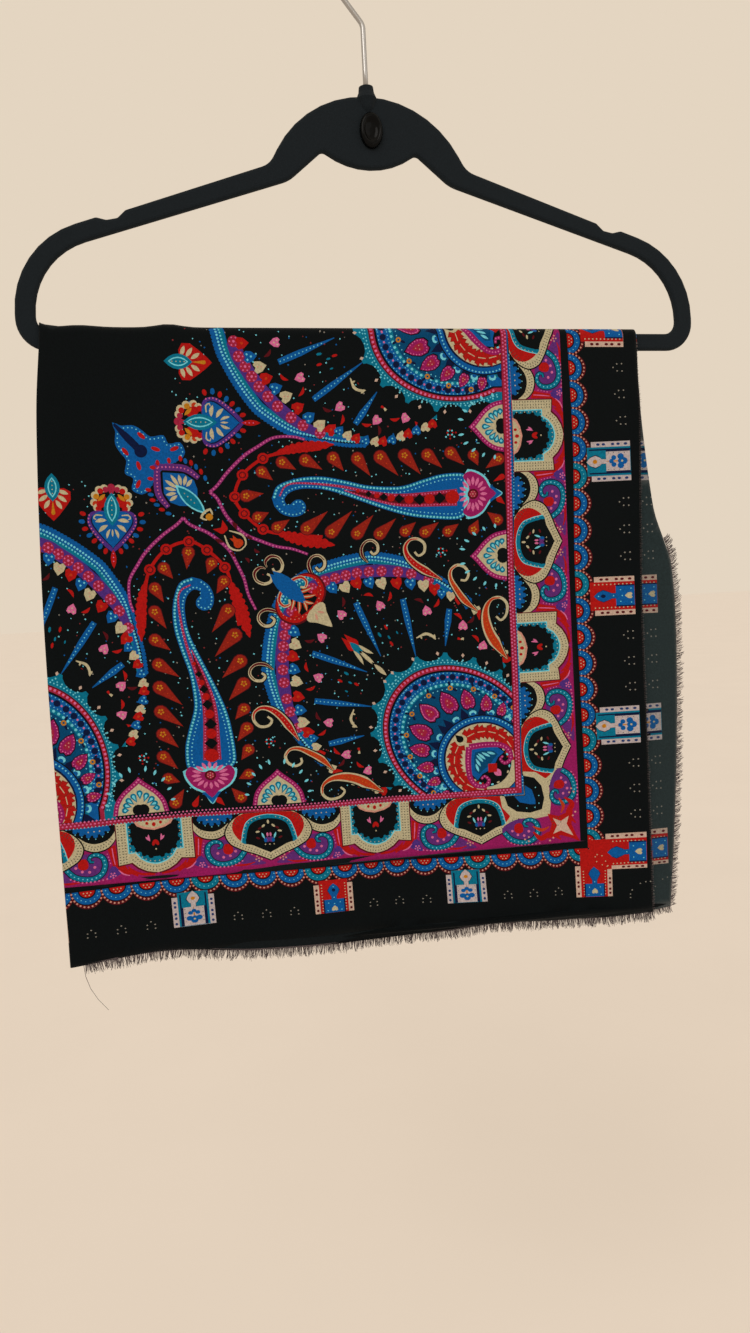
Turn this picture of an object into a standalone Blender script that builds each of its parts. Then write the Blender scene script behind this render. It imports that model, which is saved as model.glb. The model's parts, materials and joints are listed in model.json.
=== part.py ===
"""A square scarf, folded in half and hung over the lower bar of a flocked clothes hanger.

Metres, +Z up. The origin is the inside top of the hook, and the viewer looks along +Y.
"""

import math
import random
from collections import namedtuple

import bmesh
import bpy
import numpy as np

# The hook is a round arc on a bent stem, all measured on the wire's centre line.
WIRE_RADIUS = 0.0014
HOOK_RADIUS = 0.0190
HOOK_BEND = math.radians(38)
HOOK_END = math.radians(-28)
HOOK_BEND_RADIUS = 0.008
STEM_LENGTH = 0.038
SOCKET_DEPTH = 0.005

# The hanger's moulded body.
BODY_RISE = 0.1521
BODY_DEPTH = 0.0055
BODY_ROUNDING = 0.0022
BAR_HEIGHT = 0.0112
HALF_WIDTH = 0.2225
INNER_HALF_WIDTH = 0.2105
INNER_CORNER_RADIUS = 0.0083
CORNER_REACH = 0.0079
TONGUE_HALF_WIDTH = 0.0074
TONGUE_HALF_HEIGHT = 0.0110
TONGUE_DEPTH = 0.0035
TONGUE_PLACE = (0.0012, 0.1245)

# Places that follow from those sizes.
HOOK_TOP = WIRE_RADIUS
HOOK_CENTRE = HOOK_TOP - HOOK_RADIUS
STEM_TOP = HOOK_CENTRE - HOOK_RADIUS / math.sin(HOOK_BEND)
COLLAR_TOP = STEM_TOP - STEM_LENGTH
BAR_TOP = COLLAR_TOP - BODY_RISE

# The cloth is a wall in two layers on each side of the bar. Distances are from the bar's middle plane.
GAP = 0.0003
INNER_NEAR = 0.0034
INNER_FAR = 0.0044
OUTER_NEAR = 0.0048
OUTER_FAR = 0.0058
FOLD_LIP = 0.0040
SEAM_DROP = 0.0150
HEM_MEAN = 0.3960
CURL_WIDTH = 0.0140
CURL_FRONT = 0.0020
CURL_BACK = 0.0010
WAVE_START = 0.0250

# How finely each surface is divided.
ARC_STEP = math.radians(9)
ROUND_SIDES = 20
DOME_STEPS = 4
ROUNDING_STEPS = 3
HOOK_STEPS = 22
FRONT_LEVELS = 18
BACK_LEVELS = 16
TOP_LEVELS = 6
OUTER_COLUMNS = 16
INNER_COLUMNS = 14
FOLD_BENDS = 4

# The frayed edge: a narrow strip beside the cloth, and locks of thread that stand out of it.
STRIP_WIDTH = 0.0010
STRIP_HALF_DEPTH = 0.0004
LOCK_ROOT = 0.0030
LOCK_TIP = 0.0009
LOCK_TIP_HALF_DEPTH = 0.0002
LOCK_LENGTH = 0.0052
LOCK_UNEVENNESS = 0.15
LOCK_LEAN = 0.0013
LOOSE_THREAD = 0.0340
LOOSE_THREAD_LEAN = 0.0057
WHOLE_EDGE = 1.0

# Corners of an outline: half width, height above the bar's top, radius of the rounding there.
Corner = namedtuple("Corner", "x up radius")
OUTLINE = (
    Corner(0.0402, 0.1461, 0.0670),
    Corner(0.0642, 0.1028, 0.0140),
    Corner(0.1540, 0.0724, 0.0030),
    Corner(0.1590, 0.0677, 0.0030),
    Corner(0.1655, 0.0664, 0.0040),
    Corner(0.1715, 0.0678, 0.0040),
    Corner(HALF_WIDTH, 0.0509, 0.0560),
    Corner(HALF_WIDTH, -BAR_HEIGHT, 0.0185),
)
WINDOW = (
    Corner(0.0156, 0.1016, 0.0500),
    Corner(0.0305, 0.1118, 0.0035),
    Corner(0.0524, 0.0933, 0.0220),
    Corner(INNER_HALF_WIDTH, 0.0432, 0.0460),
    Corner(INNER_HALF_WIDTH, 0.0, INNER_CORNER_RADIUS),
)
# The collar round the stem, turned: distance below its top, radius.
Turned = namedtuple("Turned", "down radius")
COLLAR = (
    Turned(0.0, 0.0046),
    Turned(0.0035, 0.0050),
    Turned(0.0072, 0.0066),
    Turned(0.0130, 0.0046),
    Turned(0.0180, 0.0020),
)

# Fringe: how many locks, and where along its edge it starts and ends, going down a side or left along a hem.
Fringe = namedtuple("Fringe", "locks start end")
HEM_FRONT_FRINGE = Fringe(44, 0.0, 0.388)
LOOSE_THREAD_FRINGE = Fringe(1, 0.3895, WHOLE_EDGE)
HEM_BACK_FRINGE = Fringe(38, 0.0, WHOLE_EDGE)
SIDE_FRONT_FRINGE = Fringe(40, 0.004, WHOLE_EDGE)
SIDE_BACK_FRINGE = Fringe(36, 0.003, WHOLE_EDGE)
INNER_FRONT_FRINGE = Fringe(32, 0.138, WHOLE_EDGE)
INNER_BACK_FRINGE = Fringe(26, 0.150, WHOLE_EDGE)
INNER_HEM_FRINGE = Fringe(2, 0.0, 0.0145)

# Vertical edges of the cloth: distance below the bar's top, place across the hanger.
Edge = namedtuple("Edge", "drop x")
LEFT_FOLD = (
    Edge(-0.006, -0.2083),
    Edge(0.003, -0.2092),
    Edge(0.041, -0.2136),
    Edge(0.082, -0.2162),
    Edge(0.136, -0.2185),
    Edge(0.390, -0.2200),
)
OUTER_FRONT_RIGHT = (
    Edge(-0.006, 0.1783),
    Edge(0.042, 0.1788),
    Edge(0.100, 0.1774),
    Edge(0.180, 0.1752),
    Edge(0.270, 0.1753),
    Edge(0.400, 0.1757),
)
INNER_FRONT_RIGHT = (
    Edge(-0.006, 0.1793),
    Edge(0.042, 0.1803),
    Edge(0.072, 0.1828),
    Edge(0.100, 0.1860),
    Edge(0.120, 0.1892),
    Edge(0.135, 0.1943),
    Edge(0.150, 0.1994),
    Edge(0.170, 0.2017),
    Edge(0.200, 0.2026),
    Edge(0.235, 0.2021),
    Edge(0.336, 0.1969),
    Edge(0.400, 0.1912),
)
OUTER_BACK_RIGHT = (Edge(-0.006, 0.1783), Edge(0.200, 0.1765), Edge(0.400, 0.1750))
INNER_BACK_RIGHT = (
    Edge(-0.006, 0.1793),
    Edge(0.080, 0.1815),
    Edge(0.130, 0.1880),
    Edge(0.180, 0.1955),
    Edge(0.250, 0.1975),
    Edge(0.400, 0.1880),
)
# Hems: place across the hanger, distance below the bar's top.
Hem = namedtuple("Hem", "x drop")
HEM_FRONT = (
    Hem(-0.220, 0.3915),
    Hem(-0.182, 0.3878),
    Hem(-0.162, 0.3871),
    Hem(-0.123, 0.3915),
    Hem(-0.060, 0.3957),
    Hem(0.019, 0.3982),
    Hem(0.060, 0.3976),
    Hem(0.102, 0.4005),
    Hem(0.140, 0.4023),
    Hem(0.195, 0.4005),
)
HEM_BACK = (Hem(-0.220, 0.3850), Hem(-0.100, 0.3858), Hem(0.060, 0.3920), Hem(0.195, 0.3955))
# Slack folds that lift the cloth off the bar: place across, rise, half width.
Hump = namedtuple("Hump", "x rise width")
HUMPS = (Hump(-0.186, 0.0012, 0.012), Hump(-0.133, 0.0020, 0.010))
# The sway of the hanging cloth, as sine waves across it.
Sway = namedtuple("Sway", "size length phase")
SWAYS = (Sway(0.0022, 0.270, 0.6), Sway(0.0012, 0.118, 2.1))

# Base colour, roughness, metallic.
Finish = namedtuple("Finish", "colour roughness metallic")
FLOCK = Finish((0.012, 0.012, 0.014), 0.95, 0.0)
STEEL = Finish((0.62, 0.62, 0.64), 0.28, 1.0)
GLOSS = Finish((0.010, 0.010, 0.011), 0.12, 0.0)
PRINTED = Finish((0.030, 0.032, 0.045), 0.80, 0.0)
REVERSE = Finish((0.050, 0.052, 0.062), 0.85, 0.0)
THREAD = Finish((0.085, 0.065, 0.070), 0.90, 0.0)


def finish_material(name, finish):
    material = bpy.data.materials.new(name)
    material.use_nodes = True
    shader = material.node_tree.nodes["Principled BSDF"]
    shader.inputs["Base Color"].default_value = (*finish.colour, 1.0)
    shader.inputs["Roughness"].default_value = finish.roughness
    shader.inputs["Metallic"].default_value = finish.metallic
    return material


def add_object(name, data, finish):
    obj = bpy.data.objects.new(name, data)
    data.materials.append(finish_material(name + "_finish", finish))
    bpy.context.scene.collection.objects.link(obj)
    return obj


def add_mesh(name, bm, finish, sharp_angle=40):
    """Turns a bmesh into a smooth-shaded object whose faces point out."""
    bmesh.ops.recalc_face_normals(bm, faces=bm.faces[:])
    mesh = bpy.data.meshes.new(name)
    bm.to_mesh(mesh)
    bm.free()
    mesh.shade_smooth()
    mesh.set_sharp_from_angle(angle=math.radians(sharp_angle))
    return add_object(name, mesh, finish)


def bridge(bm, near, far):
    """Faces between two closed rings of the same count."""
    for i in range(len(near)):
        bm.faces.new((near[i - 1], near[i], far[i], far[i - 1]))


def mix(a, b, t):
    return a + (b - a) * t


def smoothstep(t):
    t = min(max(t, 0.0), 1.0)
    return t * t * (3 - 2 * t)


def along(rows, key):
    """Reads a two-column table at key, on a smooth curve through its rows."""
    keys = [row[0] for row in rows]
    values = [row[1] for row in rows]
    if key <= keys[0]:
        return values[0]
    if key >= keys[-1]:
        return values[-1]
    slopes = np.gradient(values, keys)
    i = int(np.searchsorted(keys, key)) - 1
    span = keys[i + 1] - keys[i]
    t = (key - keys[i]) / span
    near = (1 + 2 * t) * (1 - t) ** 2 * values[i] + t * (1 - t) ** 2 * span * slopes[i]
    far = t * t * (3 - 2 * t) * values[i + 1] - t * t * (1 - t) * span * slopes[i + 1]
    return float(near + far)


def rounding(before, corner, after):
    """Points of the arc that rounds one corner of an outline."""
    here = np.array((corner.x, corner.up))
    back = np.array((before.x, before.up)) - here
    on = np.array((after.x, after.up)) - here
    back /= np.linalg.norm(back)
    on /= np.linalg.norm(on)
    turn = math.pi - math.acos(np.clip(back @ on, -1, 1))
    start = here + back * corner.radius * math.tan(turn / 2)
    middle = back + on
    centre = here + middle / np.linalg.norm(middle) * corner.radius / math.cos(turn / 2)
    arm = start - centre
    side = 1 if back[0] * on[1] - back[1] * on[0] < 0 else -1
    count = max(2, math.ceil(turn / ARC_STEP))
    points = []
    for i in range(count + 1):
        angle = side * turn * i / count
        across = arm[0] * math.cos(angle) - arm[1] * math.sin(angle)
        up = arm[0] * math.sin(angle) + arm[1] * math.cos(angle)
        points.append((centre[0] + across, centre[1] + up))
    return points


def mirrored_loop(corners):
    """A closed outline from its right half: level at the top and the bottom middle."""
    first = Corner(0.0, corners[0].up, 0.0)
    last = Corner(0.0, corners[-1].up, 0.0)
    row = (first, *corners, last)
    right = [(0.0, first.up)]
    for before, corner, after in zip(row, row[1:], row[2:]):
        right += rounding(before, corner, after)
    right.append((0.0, last.up))
    left = [(-x, up) for x, up in reversed(right[1:-1])]
    return right + left


def add_collar():
    """The turned collar with its blind socket, joined to the body by a union."""
    bore = WIRE_RADIUS + GAP
    profile = [(bore, -SOCKET_DEPTH - GAP), (bore, 0.0)]
    profile += [(row.radius, -row.down) for row in COLLAR]
    bm = bmesh.new()
    rings = []
    for radius, up in profile:
        ring = []
        for i in range(ROUND_SIDES):
            angle = 2 * math.pi * i / ROUND_SIDES
            place = (radius * math.cos(angle), radius * math.sin(angle), COLLAR_TOP + up)
            ring.append(bm.verts.new(place))
        rings.append(ring)
    for low, high in zip(rings, rings[1:]):
        bridge(bm, low, high)
    bm.faces.new(rings[0])
    bm.faces.new(rings[-1])
    collar = add_mesh("collar_shape", bm, FLOCK)
    collar.hide_render = True
    collar.display_type = "WIRE"
    return collar


def inset_loop(loop, inset):
    """Moves a clockwise outline's points in by a distance, or out where it is negative."""
    points = []
    for i, (x, up) in enumerate(loop):
        before, after = loop[i - 1], loop[(i + 1) % len(loop)]
        across, rise = after[0] - before[0], after[1] - before[1]
        length = math.hypot(across, rise)
        points.append((x + rise / length * inset, up - across / length * inset))
    return points


def body_profile():
    """The body's edge seen end on: how far each ring lies inside the outline, and its depth."""
    rings = []
    for i in range(ROUNDING_STEPS + 1):
        angle = math.pi / 2 * i / ROUNDING_STEPS
        depth = BODY_DEPTH / 2 - BODY_ROUNDING * (1 - math.cos(angle))
        rings.append((BODY_ROUNDING * (1 - math.sin(angle)), -depth))
    return rings + [(inset, -depth) for inset, depth in reversed(rings)]


def add_hanger_body():
    bm = bmesh.new()
    rims = {0: [], -1: []}
    for corners, inward in ((OUTLINE, 1), (WINDOW, -1)):
        loop = mirrored_loop(corners)
        rings = []
        for inset, depth in body_profile():
            points = inset_loop(loop, inset * inward)
            rings.append([bm.verts.new((x, depth, BAR_TOP + up)) for x, up in points])
        for near, far in zip(rings, rings[1:]):
            bridge(bm, near, far)
        for end, edges in rims.items():
            ring = rings[end]
            edges += [bm.edges.get((ring[i - 1], ring[i])) for i in range(len(ring))]
    for edges in rims.values():
        bmesh.ops.triangle_fill(bm, use_beauty=True, edges=edges)
    body = add_mesh("hanger_body", bm, FLOCK)
    union = body.modifiers.new("collar", "BOOLEAN")
    union.operation = "UNION"
    union.object = add_collar()
    return body


def hook_points():
    """The hook's centre line, from the bottom of the socket to its open end."""
    lean = (-math.sin(HOOK_BEND), math.cos(HOOK_BEND))
    reach = HOOK_RADIUS / math.tan(HOOK_BEND)
    foot = Corner(0.0, STEM_TOP - STEM_LENGTH, 0.0)
    knee = Corner(0.0, STEM_TOP, HOOK_BEND_RADIUS)
    touch = Corner(lean[0] * reach, STEM_TOP + lean[1] * reach, 0.0)
    points = [(0.0, COLLAR_TOP - SOCKET_DEPTH), (foot.x, foot.up)]
    points += rounding(foot, knee, touch)
    start = math.pi + HOOK_BEND
    for i in range(HOOK_STEPS + 1):
        angle = mix(start, HOOK_END, i / HOOK_STEPS)
        x = HOOK_RADIUS * math.cos(angle)
        points.append((x, HOOK_CENTRE + HOOK_RADIUS * math.sin(angle)))
    return points


def add_hook():
    curve = bpy.data.curves.new("hanger_hook", "CURVE")
    curve.dimensions = "3D"
    curve.bevel_depth = WIRE_RADIUS
    curve.bevel_resolution = 2
    curve.use_fill_caps = True
    points = hook_points()
    spline = curve.splines.new("POLY")
    spline.points.add(len(points) - 1)
    for point, (x, z) in zip(spline.points, points):
        point.co = (x, 0.0, z, 1.0)
    return add_object("hanger_hook", curve, STEEL)


def add_tongue():
    """A shallow oval dome, flat where it sits against the yoke."""
    bm = bmesh.new()
    seat = -BODY_DEPTH / 2 - GAP
    rings = []
    for k in range(DOME_STEPS):
        lift = math.pi / 2 * k / DOME_STEPS
        ring = []
        for i in range(ROUND_SIDES):
            angle = 2 * math.pi * i / ROUND_SIDES
            x = TONGUE_PLACE[0] + TONGUE_HALF_WIDTH * math.cos(lift) * math.cos(angle)
            up = TONGUE_PLACE[1] + TONGUE_HALF_HEIGHT * math.cos(lift) * math.sin(angle)
            ring.append(bm.verts.new((x, seat - TONGUE_DEPTH * math.sin(lift), BAR_TOP + up)))
        rings.append(ring)
    bm.faces.new(rings[0])
    for low, high in zip(rings, rings[1:]):
        bridge(bm, low, high)
    tip = bm.verts.new((TONGUE_PLACE[0], seat - TONGUE_DEPTH, BAR_TOP + TONGUE_PLACE[1]))
    for i in range(ROUND_SIDES):
        bm.faces.new((rings[-1][i - 1], rings[-1][i], tip))
    return add_mesh("hanger_tongue", bm, GLOSS, sharp_angle=60)


def lift_at(x):
    """How far the cloth's top stands above the bar's: over the corner on the left, and in its slack folds."""
    beyond = min(max(-x - (INNER_HALF_WIDTH - INNER_CORNER_RADIUS), 0.0), CORNER_REACH)
    corner = INNER_CORNER_RADIUS - math.sqrt(INNER_CORNER_RADIUS**2 - beyond**2)
    slack = sum(hump.rise * math.exp(-(((x - hump.x) / hump.width) ** 2)) for hump in HUMPS)
    return corner + slack


def tangent_drop(x):
    """Where the cloth leaves the bar's rounded top, as a distance below the bar's top."""
    return BODY_DEPTH / 2 - lift_at(x)


def seam_drop(x):
    """Where the cloth behind the bar takes over from the cloth in front of it: level, so alike at every x."""
    return SEAM_DROP + GAP


def sway(x, drop):
    grown = smoothstep((drop - WAVE_START) / (HEM_MEAN - WAVE_START))
    return grown * sum(s.size * math.sin(2 * math.pi * x / s.length + s.phase) for s in SWAYS)


def hanging(x, drop, distance, side):
    """A point beside the bar. side is -1 in front of it and 1 behind it."""
    return (x, side * distance + sway(x, drop), BAR_TOP - drop)


def over_bar(x, distance, angle):
    """A point above the bar, at an angle from the front over the top to the back."""
    centre = BAR_TOP - tangent_drop(x)
    return (x, -distance * math.cos(angle), centre + distance * math.sin(angle))


# A row is one level of a layer: its height at the edges, its right edge's curl, and where its points go.
Row = namedtuple("Row", "drop curl place")


def hanging_rows(hem, side, count, curl, top):
    """Levels from the hem up to a line that top gives, as a distance below the bar's top."""
    rows = []
    for i in range(count):
        t = i / (count - 1)

        def place(x, distance, t=t):
            return hanging(x, mix(along(hem, x), top(x), t), distance, side)

        drop = mix(HEM_MEAN, top(0.0), t)
        grown = smoothstep((drop - WAVE_START) / WAVE_START)
        rows.append(Row(drop, curl * grown, place))
    return rows


def top_rows():
    """Levels over the bar, from front to back, and down to the seam behind it."""
    rows = []
    for i in range(1, TOP_LEVELS + 1):
        angle = math.pi * i / TOP_LEVELS

        def place(x, distance, angle=angle):
            return over_bar(x, distance, angle)

        rows.append(Row(0.0, 0.0, place))

    def seam(x, distance):
        return hanging(x, SEAM_DROP, distance, 1)

    rows.append(Row(SEAM_DROP, 0.0, seam))
    return rows


def outer_section(left, right, curl):
    """The outer layer seen from above: its right edge, the fold on the left and a short lip behind it."""
    middle = (OUTER_FAR + INNER_NEAR) / 2
    outer_radius = OUTER_FAR - middle
    inner_radius = OUTER_NEAR - middle
    turn = left + outer_radius
    outside, inside = [], []
    for i in range(OUTER_COLUMNS):
        x = mix(right, turn, i / OUTER_COLUMNS)
        lifted = curl * max(0.0, (x - right + CURL_WIDTH) / CURL_WIDTH) ** 2
        outside.append((x, OUTER_FAR + lifted))
        inside.append((x, OUTER_NEAR + lifted))
    for i in range(FOLD_BENDS + 1):
        angle = math.pi * i / FOLD_BENDS
        across, out = math.sin(angle), math.cos(angle)
        outside.append((turn - outer_radius * across, middle + outer_radius * out))
        inside.append((turn - inner_radius * across, middle + inner_radius * out))
    outside.append((turn + FOLD_LIP, INNER_NEAR))
    inside.append((turn + FOLD_LIP, INNER_FAR))
    return outside, inside


def inner_section(left, right, curl):
    """The inner layer seen from above, with no curl: it starts where the outer layer's lip ends."""
    start = left + (OUTER_FAR - INNER_NEAR) / 2 + FOLD_LIP + GAP
    xs = [mix(right, start, i / INNER_COLUMNS) for i in range(INNER_COLUMNS + 1)]
    outside = [(x, INNER_FAR) for x in xs]
    inside = [(x, INNER_NEAR) for x in xs]
    return outside, inside


def add_wall(name, rows, section, right_edge, finish):
    """A wall of cloth through its rows, closed round its four sides."""
    bm = bmesh.new()
    skins = ([], [])
    for row in rows:
        left = along(LEFT_FOLD, row.drop)
        right = along(right_edge, row.drop)
        for skin, line in zip(skins, section(left, right, row.curl)):
            skin.append([bm.verts.new(row.place(x, distance)) for x, distance in line])
    across = len(skins[0][0]) - 1
    up = len(rows) - 1
    for skin in skins:
        for i in range(up):
            for j in range(across):
                quad = (skin[i][j], skin[i][j + 1], skin[i + 1][j + 1], skin[i + 1][j])
                bm.faces.new(quad)
    outside, inside = skins
    for i in (0, up):
        for j in range(across):
            bm.faces.new((outside[i][j], outside[i][j + 1], inside[i][j + 1], inside[i][j]))
    for j in (0, across):
        for i in range(up):
            bm.faces.new((outside[i][j], outside[i + 1][j], inside[i + 1][j], inside[i][j]))
    return add_mesh(name, bm, finish)


def add_fringe(name, edge, fringe, loose=0.0, loose_lean=0.0):
    """A narrow strip beside an edge of the cloth, with locks of thread out of its far side.

    edge lists the cloth's own points, going down its right side or left along its hem. loose and
    loose_lean are how much longer than usual the locks are, and how far on along the edge they lean.
    """
    chance = random.Random(name)
    points = np.array(edge)
    reach = np.concatenate(([0.0], np.cumsum(np.linalg.norm(np.diff(points, axis=0), axis=1))))
    pitch = (min(fringe.end, reach[-1]) - fringe.start) / fringe.locks
    bm = bmesh.new()

    def at(s):
        return np.array([np.interp(s, reach, points[:, i]) for i in range(3)])

    def directions(s):
        """Along the edge, and out of the cloth in its own plane."""
        tangent = at(min(s + LOCK_ROOT, reach[-1])) - at(max(s - LOCK_ROOT, 0.0))
        tangent /= np.linalg.norm(tangent)
        out = np.array((-tangent[2], 0.0, tangent[0]))
        return tangent, out / np.linalg.norm(out)

    def pair(spot, half):
        return [bm.verts.new(spot + (0, depth, 0)) for depth in (half, -half)]

    def ring(s):
        out = directions(s)[1]
        near, far = at(s) + out * GAP, at(s) + out * (GAP + STRIP_WIDTH)
        return pair(near, STRIP_HALF_DEPTH) + pair(far, STRIP_HALF_DEPTH)[::-1]

    def tip(s, length, lean):
        tangent, out = directions(s)
        end = at(s) + out * (GAP + STRIP_WIDTH + length) + tangent * lean
        half = tangent * LOCK_TIP / 2
        return pair(end - half, LOCK_TIP_HALF_DEPTH)[::-1] + pair(end + half, LOCK_TIP_HALF_DEPTH)

    before = None
    for i in range(fringe.locks):
        middle = fringe.start + pitch * (i + 0.5)
        first, last = ring(middle - LOCK_ROOT / 2), ring(middle + LOCK_ROOT / 2)
        if before is None:
            bm.faces.new(first)
        else:
            bridge(bm, before, first)
        for a, b in ((0, 1), (1, 2), (3, 0)):
            bm.faces.new((first[a], first[b], last[b], last[a]))
        length = LOCK_LENGTH * chance.uniform(1 - LOCK_UNEVENNESS, 1 + LOCK_UNEVENNESS) + loose
        end = tip(middle, length, chance.uniform(-LOCK_LEAN, LOCK_LEAN) + loose_lean)
        root = [first[2], first[3], last[3], last[2]]
        bridge(bm, root, end)
        bm.faces.new(end)
        before = last
    bm.faces.new(before)
    return add_mesh(name, bm, THREAD)


def side_edge(rows, edge, distance):
    """Down the wall's right side, through the middle of its thickness at each of its levels."""
    return [row.place(along(edge, row.drop), distance + row.curl) for row in reversed(rows)]


def hem_edge(rows, section, edge, columns):
    """Left along the wall's hem, through the middle of its thickness at each of its columns."""
    row = rows[0]
    lines = section(along(LEFT_FOLD, row.drop), along(edge, row.drop), row.curl)
    middles = [(x, (far + near) / 2) for (x, far), (_, near) in zip(*lines)]
    return [row.place(x, distance) for x, distance in middles[: columns + 1]]


def add_scarf():
    outer, inner = (OUTER_NEAR + OUTER_FAR) / 2, (INNER_NEAR + INNER_FAR) / 2
    front_outer = hanging_rows(HEM_FRONT, -1, FRONT_LEVELS, CURL_FRONT, tangent_drop)
    front_inner = hanging_rows(HEM_FRONT, -1, FRONT_LEVELS, 0.0, tangent_drop)
    back_outer = hanging_rows(HEM_BACK, 1, BACK_LEVELS, CURL_BACK, seam_drop)
    back_inner = hanging_rows(HEM_BACK, 1, BACK_LEVELS, 0.0, seam_drop)
    add_wall("scarf_outer_front", front_outer + top_rows(), outer_section, OUTER_FRONT_RIGHT, PRINTED)
    add_wall("scarf_inner_front", front_inner + top_rows(), inner_section, INNER_FRONT_RIGHT, REVERSE)
    add_wall("scarf_inner_back", back_inner, inner_section, INNER_BACK_RIGHT, REVERSE)
    add_wall("scarf_outer_back", back_outer, outer_section, OUTER_BACK_RIGHT, PRINTED)

    front_hem = hem_edge(front_outer, outer_section, OUTER_FRONT_RIGHT, OUTER_COLUMNS)
    back_hem = hem_edge(back_outer, outer_section, OUTER_BACK_RIGHT, OUTER_COLUMNS)
    inner_hem = hem_edge(front_inner, inner_section, INNER_FRONT_RIGHT, 1)
    add_fringe("fringe_hem_front", front_hem, HEM_FRONT_FRINGE)
    add_fringe("fringe_loose_thread", front_hem, LOOSE_THREAD_FRINGE, LOOSE_THREAD, -LOOSE_THREAD_LEAN)
    add_fringe("fringe_hem_back", back_hem, HEM_BACK_FRINGE)
    add_fringe("fringe_hem_inner", inner_hem, INNER_HEM_FRINGE)
    sides = (
        ("fringe_side_front", front_outer, OUTER_FRONT_RIGHT, outer, SIDE_FRONT_FRINGE),
        ("fringe_side_back", back_outer, OUTER_BACK_RIGHT, outer, SIDE_BACK_FRINGE),
        ("fringe_inner_front", front_inner, INNER_FRONT_RIGHT, inner, INNER_FRONT_FRINGE),
        ("fringe_inner_back", back_inner, INNER_BACK_RIGHT, inner, INNER_BACK_FRINGE),
    )
    for name, rows, edge, distance, fringe in sides:
        add_fringe(name, side_edge(rows, edge, distance), fringe)


def main():
    for obj in list(bpy.data.objects):
        bpy.data.objects.remove(obj, do_unlink=True)
    add_hanger_body()
    add_hook()
    add_tongue()
    add_scarf()


main()
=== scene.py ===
"""Looks of a square scarf hung folded on a flocked clothes hanger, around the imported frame.

Metres, +Z up, and the viewer looks along +Y. The scarf's print is drawn in millimetres from the middle of the
square, and is then laid on the hanging cloth. Its outlines and its layout were read by eye off the
straightened photograph, which the part's report lists as a rule that isn't met.
"""

import json
import math
import random
from collections import namedtuple

import bpy
import numpy as np
from mathutils import Euler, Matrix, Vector
from mathutils.bvhtree import BVHTree
from mathutils.geometry import delaunay_2d_cdt

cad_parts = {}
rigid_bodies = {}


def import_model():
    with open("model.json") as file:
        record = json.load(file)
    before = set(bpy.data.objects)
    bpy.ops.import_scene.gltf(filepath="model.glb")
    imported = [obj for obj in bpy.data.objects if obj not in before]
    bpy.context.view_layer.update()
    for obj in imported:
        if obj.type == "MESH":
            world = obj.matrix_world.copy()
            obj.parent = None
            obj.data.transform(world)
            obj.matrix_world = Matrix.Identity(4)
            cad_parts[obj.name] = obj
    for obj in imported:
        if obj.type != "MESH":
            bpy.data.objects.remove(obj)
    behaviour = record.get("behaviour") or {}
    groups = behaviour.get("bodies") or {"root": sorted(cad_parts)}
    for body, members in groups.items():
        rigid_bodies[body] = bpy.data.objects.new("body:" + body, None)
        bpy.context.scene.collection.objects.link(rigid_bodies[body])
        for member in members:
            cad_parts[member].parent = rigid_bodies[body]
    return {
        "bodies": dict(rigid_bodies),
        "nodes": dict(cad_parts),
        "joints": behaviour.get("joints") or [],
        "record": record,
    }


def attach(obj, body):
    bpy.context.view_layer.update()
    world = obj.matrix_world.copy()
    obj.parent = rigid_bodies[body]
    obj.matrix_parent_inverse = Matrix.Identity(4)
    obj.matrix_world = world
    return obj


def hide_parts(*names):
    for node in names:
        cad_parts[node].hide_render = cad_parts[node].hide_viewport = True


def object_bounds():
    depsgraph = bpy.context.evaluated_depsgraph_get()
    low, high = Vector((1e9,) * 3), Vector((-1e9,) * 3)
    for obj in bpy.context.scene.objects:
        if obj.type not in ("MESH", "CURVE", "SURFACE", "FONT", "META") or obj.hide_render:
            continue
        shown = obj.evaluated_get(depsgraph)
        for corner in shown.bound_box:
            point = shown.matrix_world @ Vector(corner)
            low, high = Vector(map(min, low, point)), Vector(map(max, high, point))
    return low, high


MM = 0.001

# The camera, from a fit of the hanger's outline in the photograph.
CAMERA_PLACE = (-0.1546, -0.6433, -0.3997)
CAMERA_TURN = (85.285, 2.958, -12.616)
CAMERA_LENS = 27.0

FLOOR_DROP = 0.62
FLOOR_HALF = 30.0

# Sizes that the solids have too.
BODY_DEPTH = 0.0055
INNER_HALF_WIDTH = 0.2105
INNER_CORNER_RADIUS = 0.0083
CORNER_REACH = 0.0079
GAP = 0.0003
INNER_NEAR = 0.0034
INNER_FAR = 0.0044
OUTER_FAR = 0.0058
FOLD_LIP = 0.0040
SEAM_DROP = 0.0150
HEM_MEAN = 0.3960
CURL_WIDTH = 0.0140
CURL_FRONT = 0.0020
CURL_BACK = 0.0010
WAVE_START = 0.0250
FOLD_RADIUS = (OUTER_FAR - INNER_NEAR) / 2
FOLD_MIDDLE = (OUTER_FAR + INNER_NEAR) / 2

# The hook: a round arc on a bent stem, measured on the wire's centre line.
WIRE_RADIUS = 0.0014
HOOK_RADIUS = 0.0190
HOOK_BEND = math.radians(38)
HOOK_BEND_RADIUS = 0.008
HOOK_END = math.radians(-28)
STEM_LENGTH = 0.038
SOCKET_DEPTH = 0.005
BODY_RISE = 0.1521
TONGUE_PLACE = (0.0012, 0.1245)
TONGUE_HALF_WIDTH = 0.0074
TONGUE_HALF_HEIGHT = 0.0110

# Places that follow from those sizes.
HOOK_CENTRE = WIRE_RADIUS - HOOK_RADIUS
STEM_TOP = HOOK_CENTRE - HOOK_RADIUS / math.sin(HOOK_BEND)
COLLAR_TOP = STEM_TOP - STEM_LENGTH
BAR_TOP = COLLAR_TOP - BODY_RISE

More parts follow.
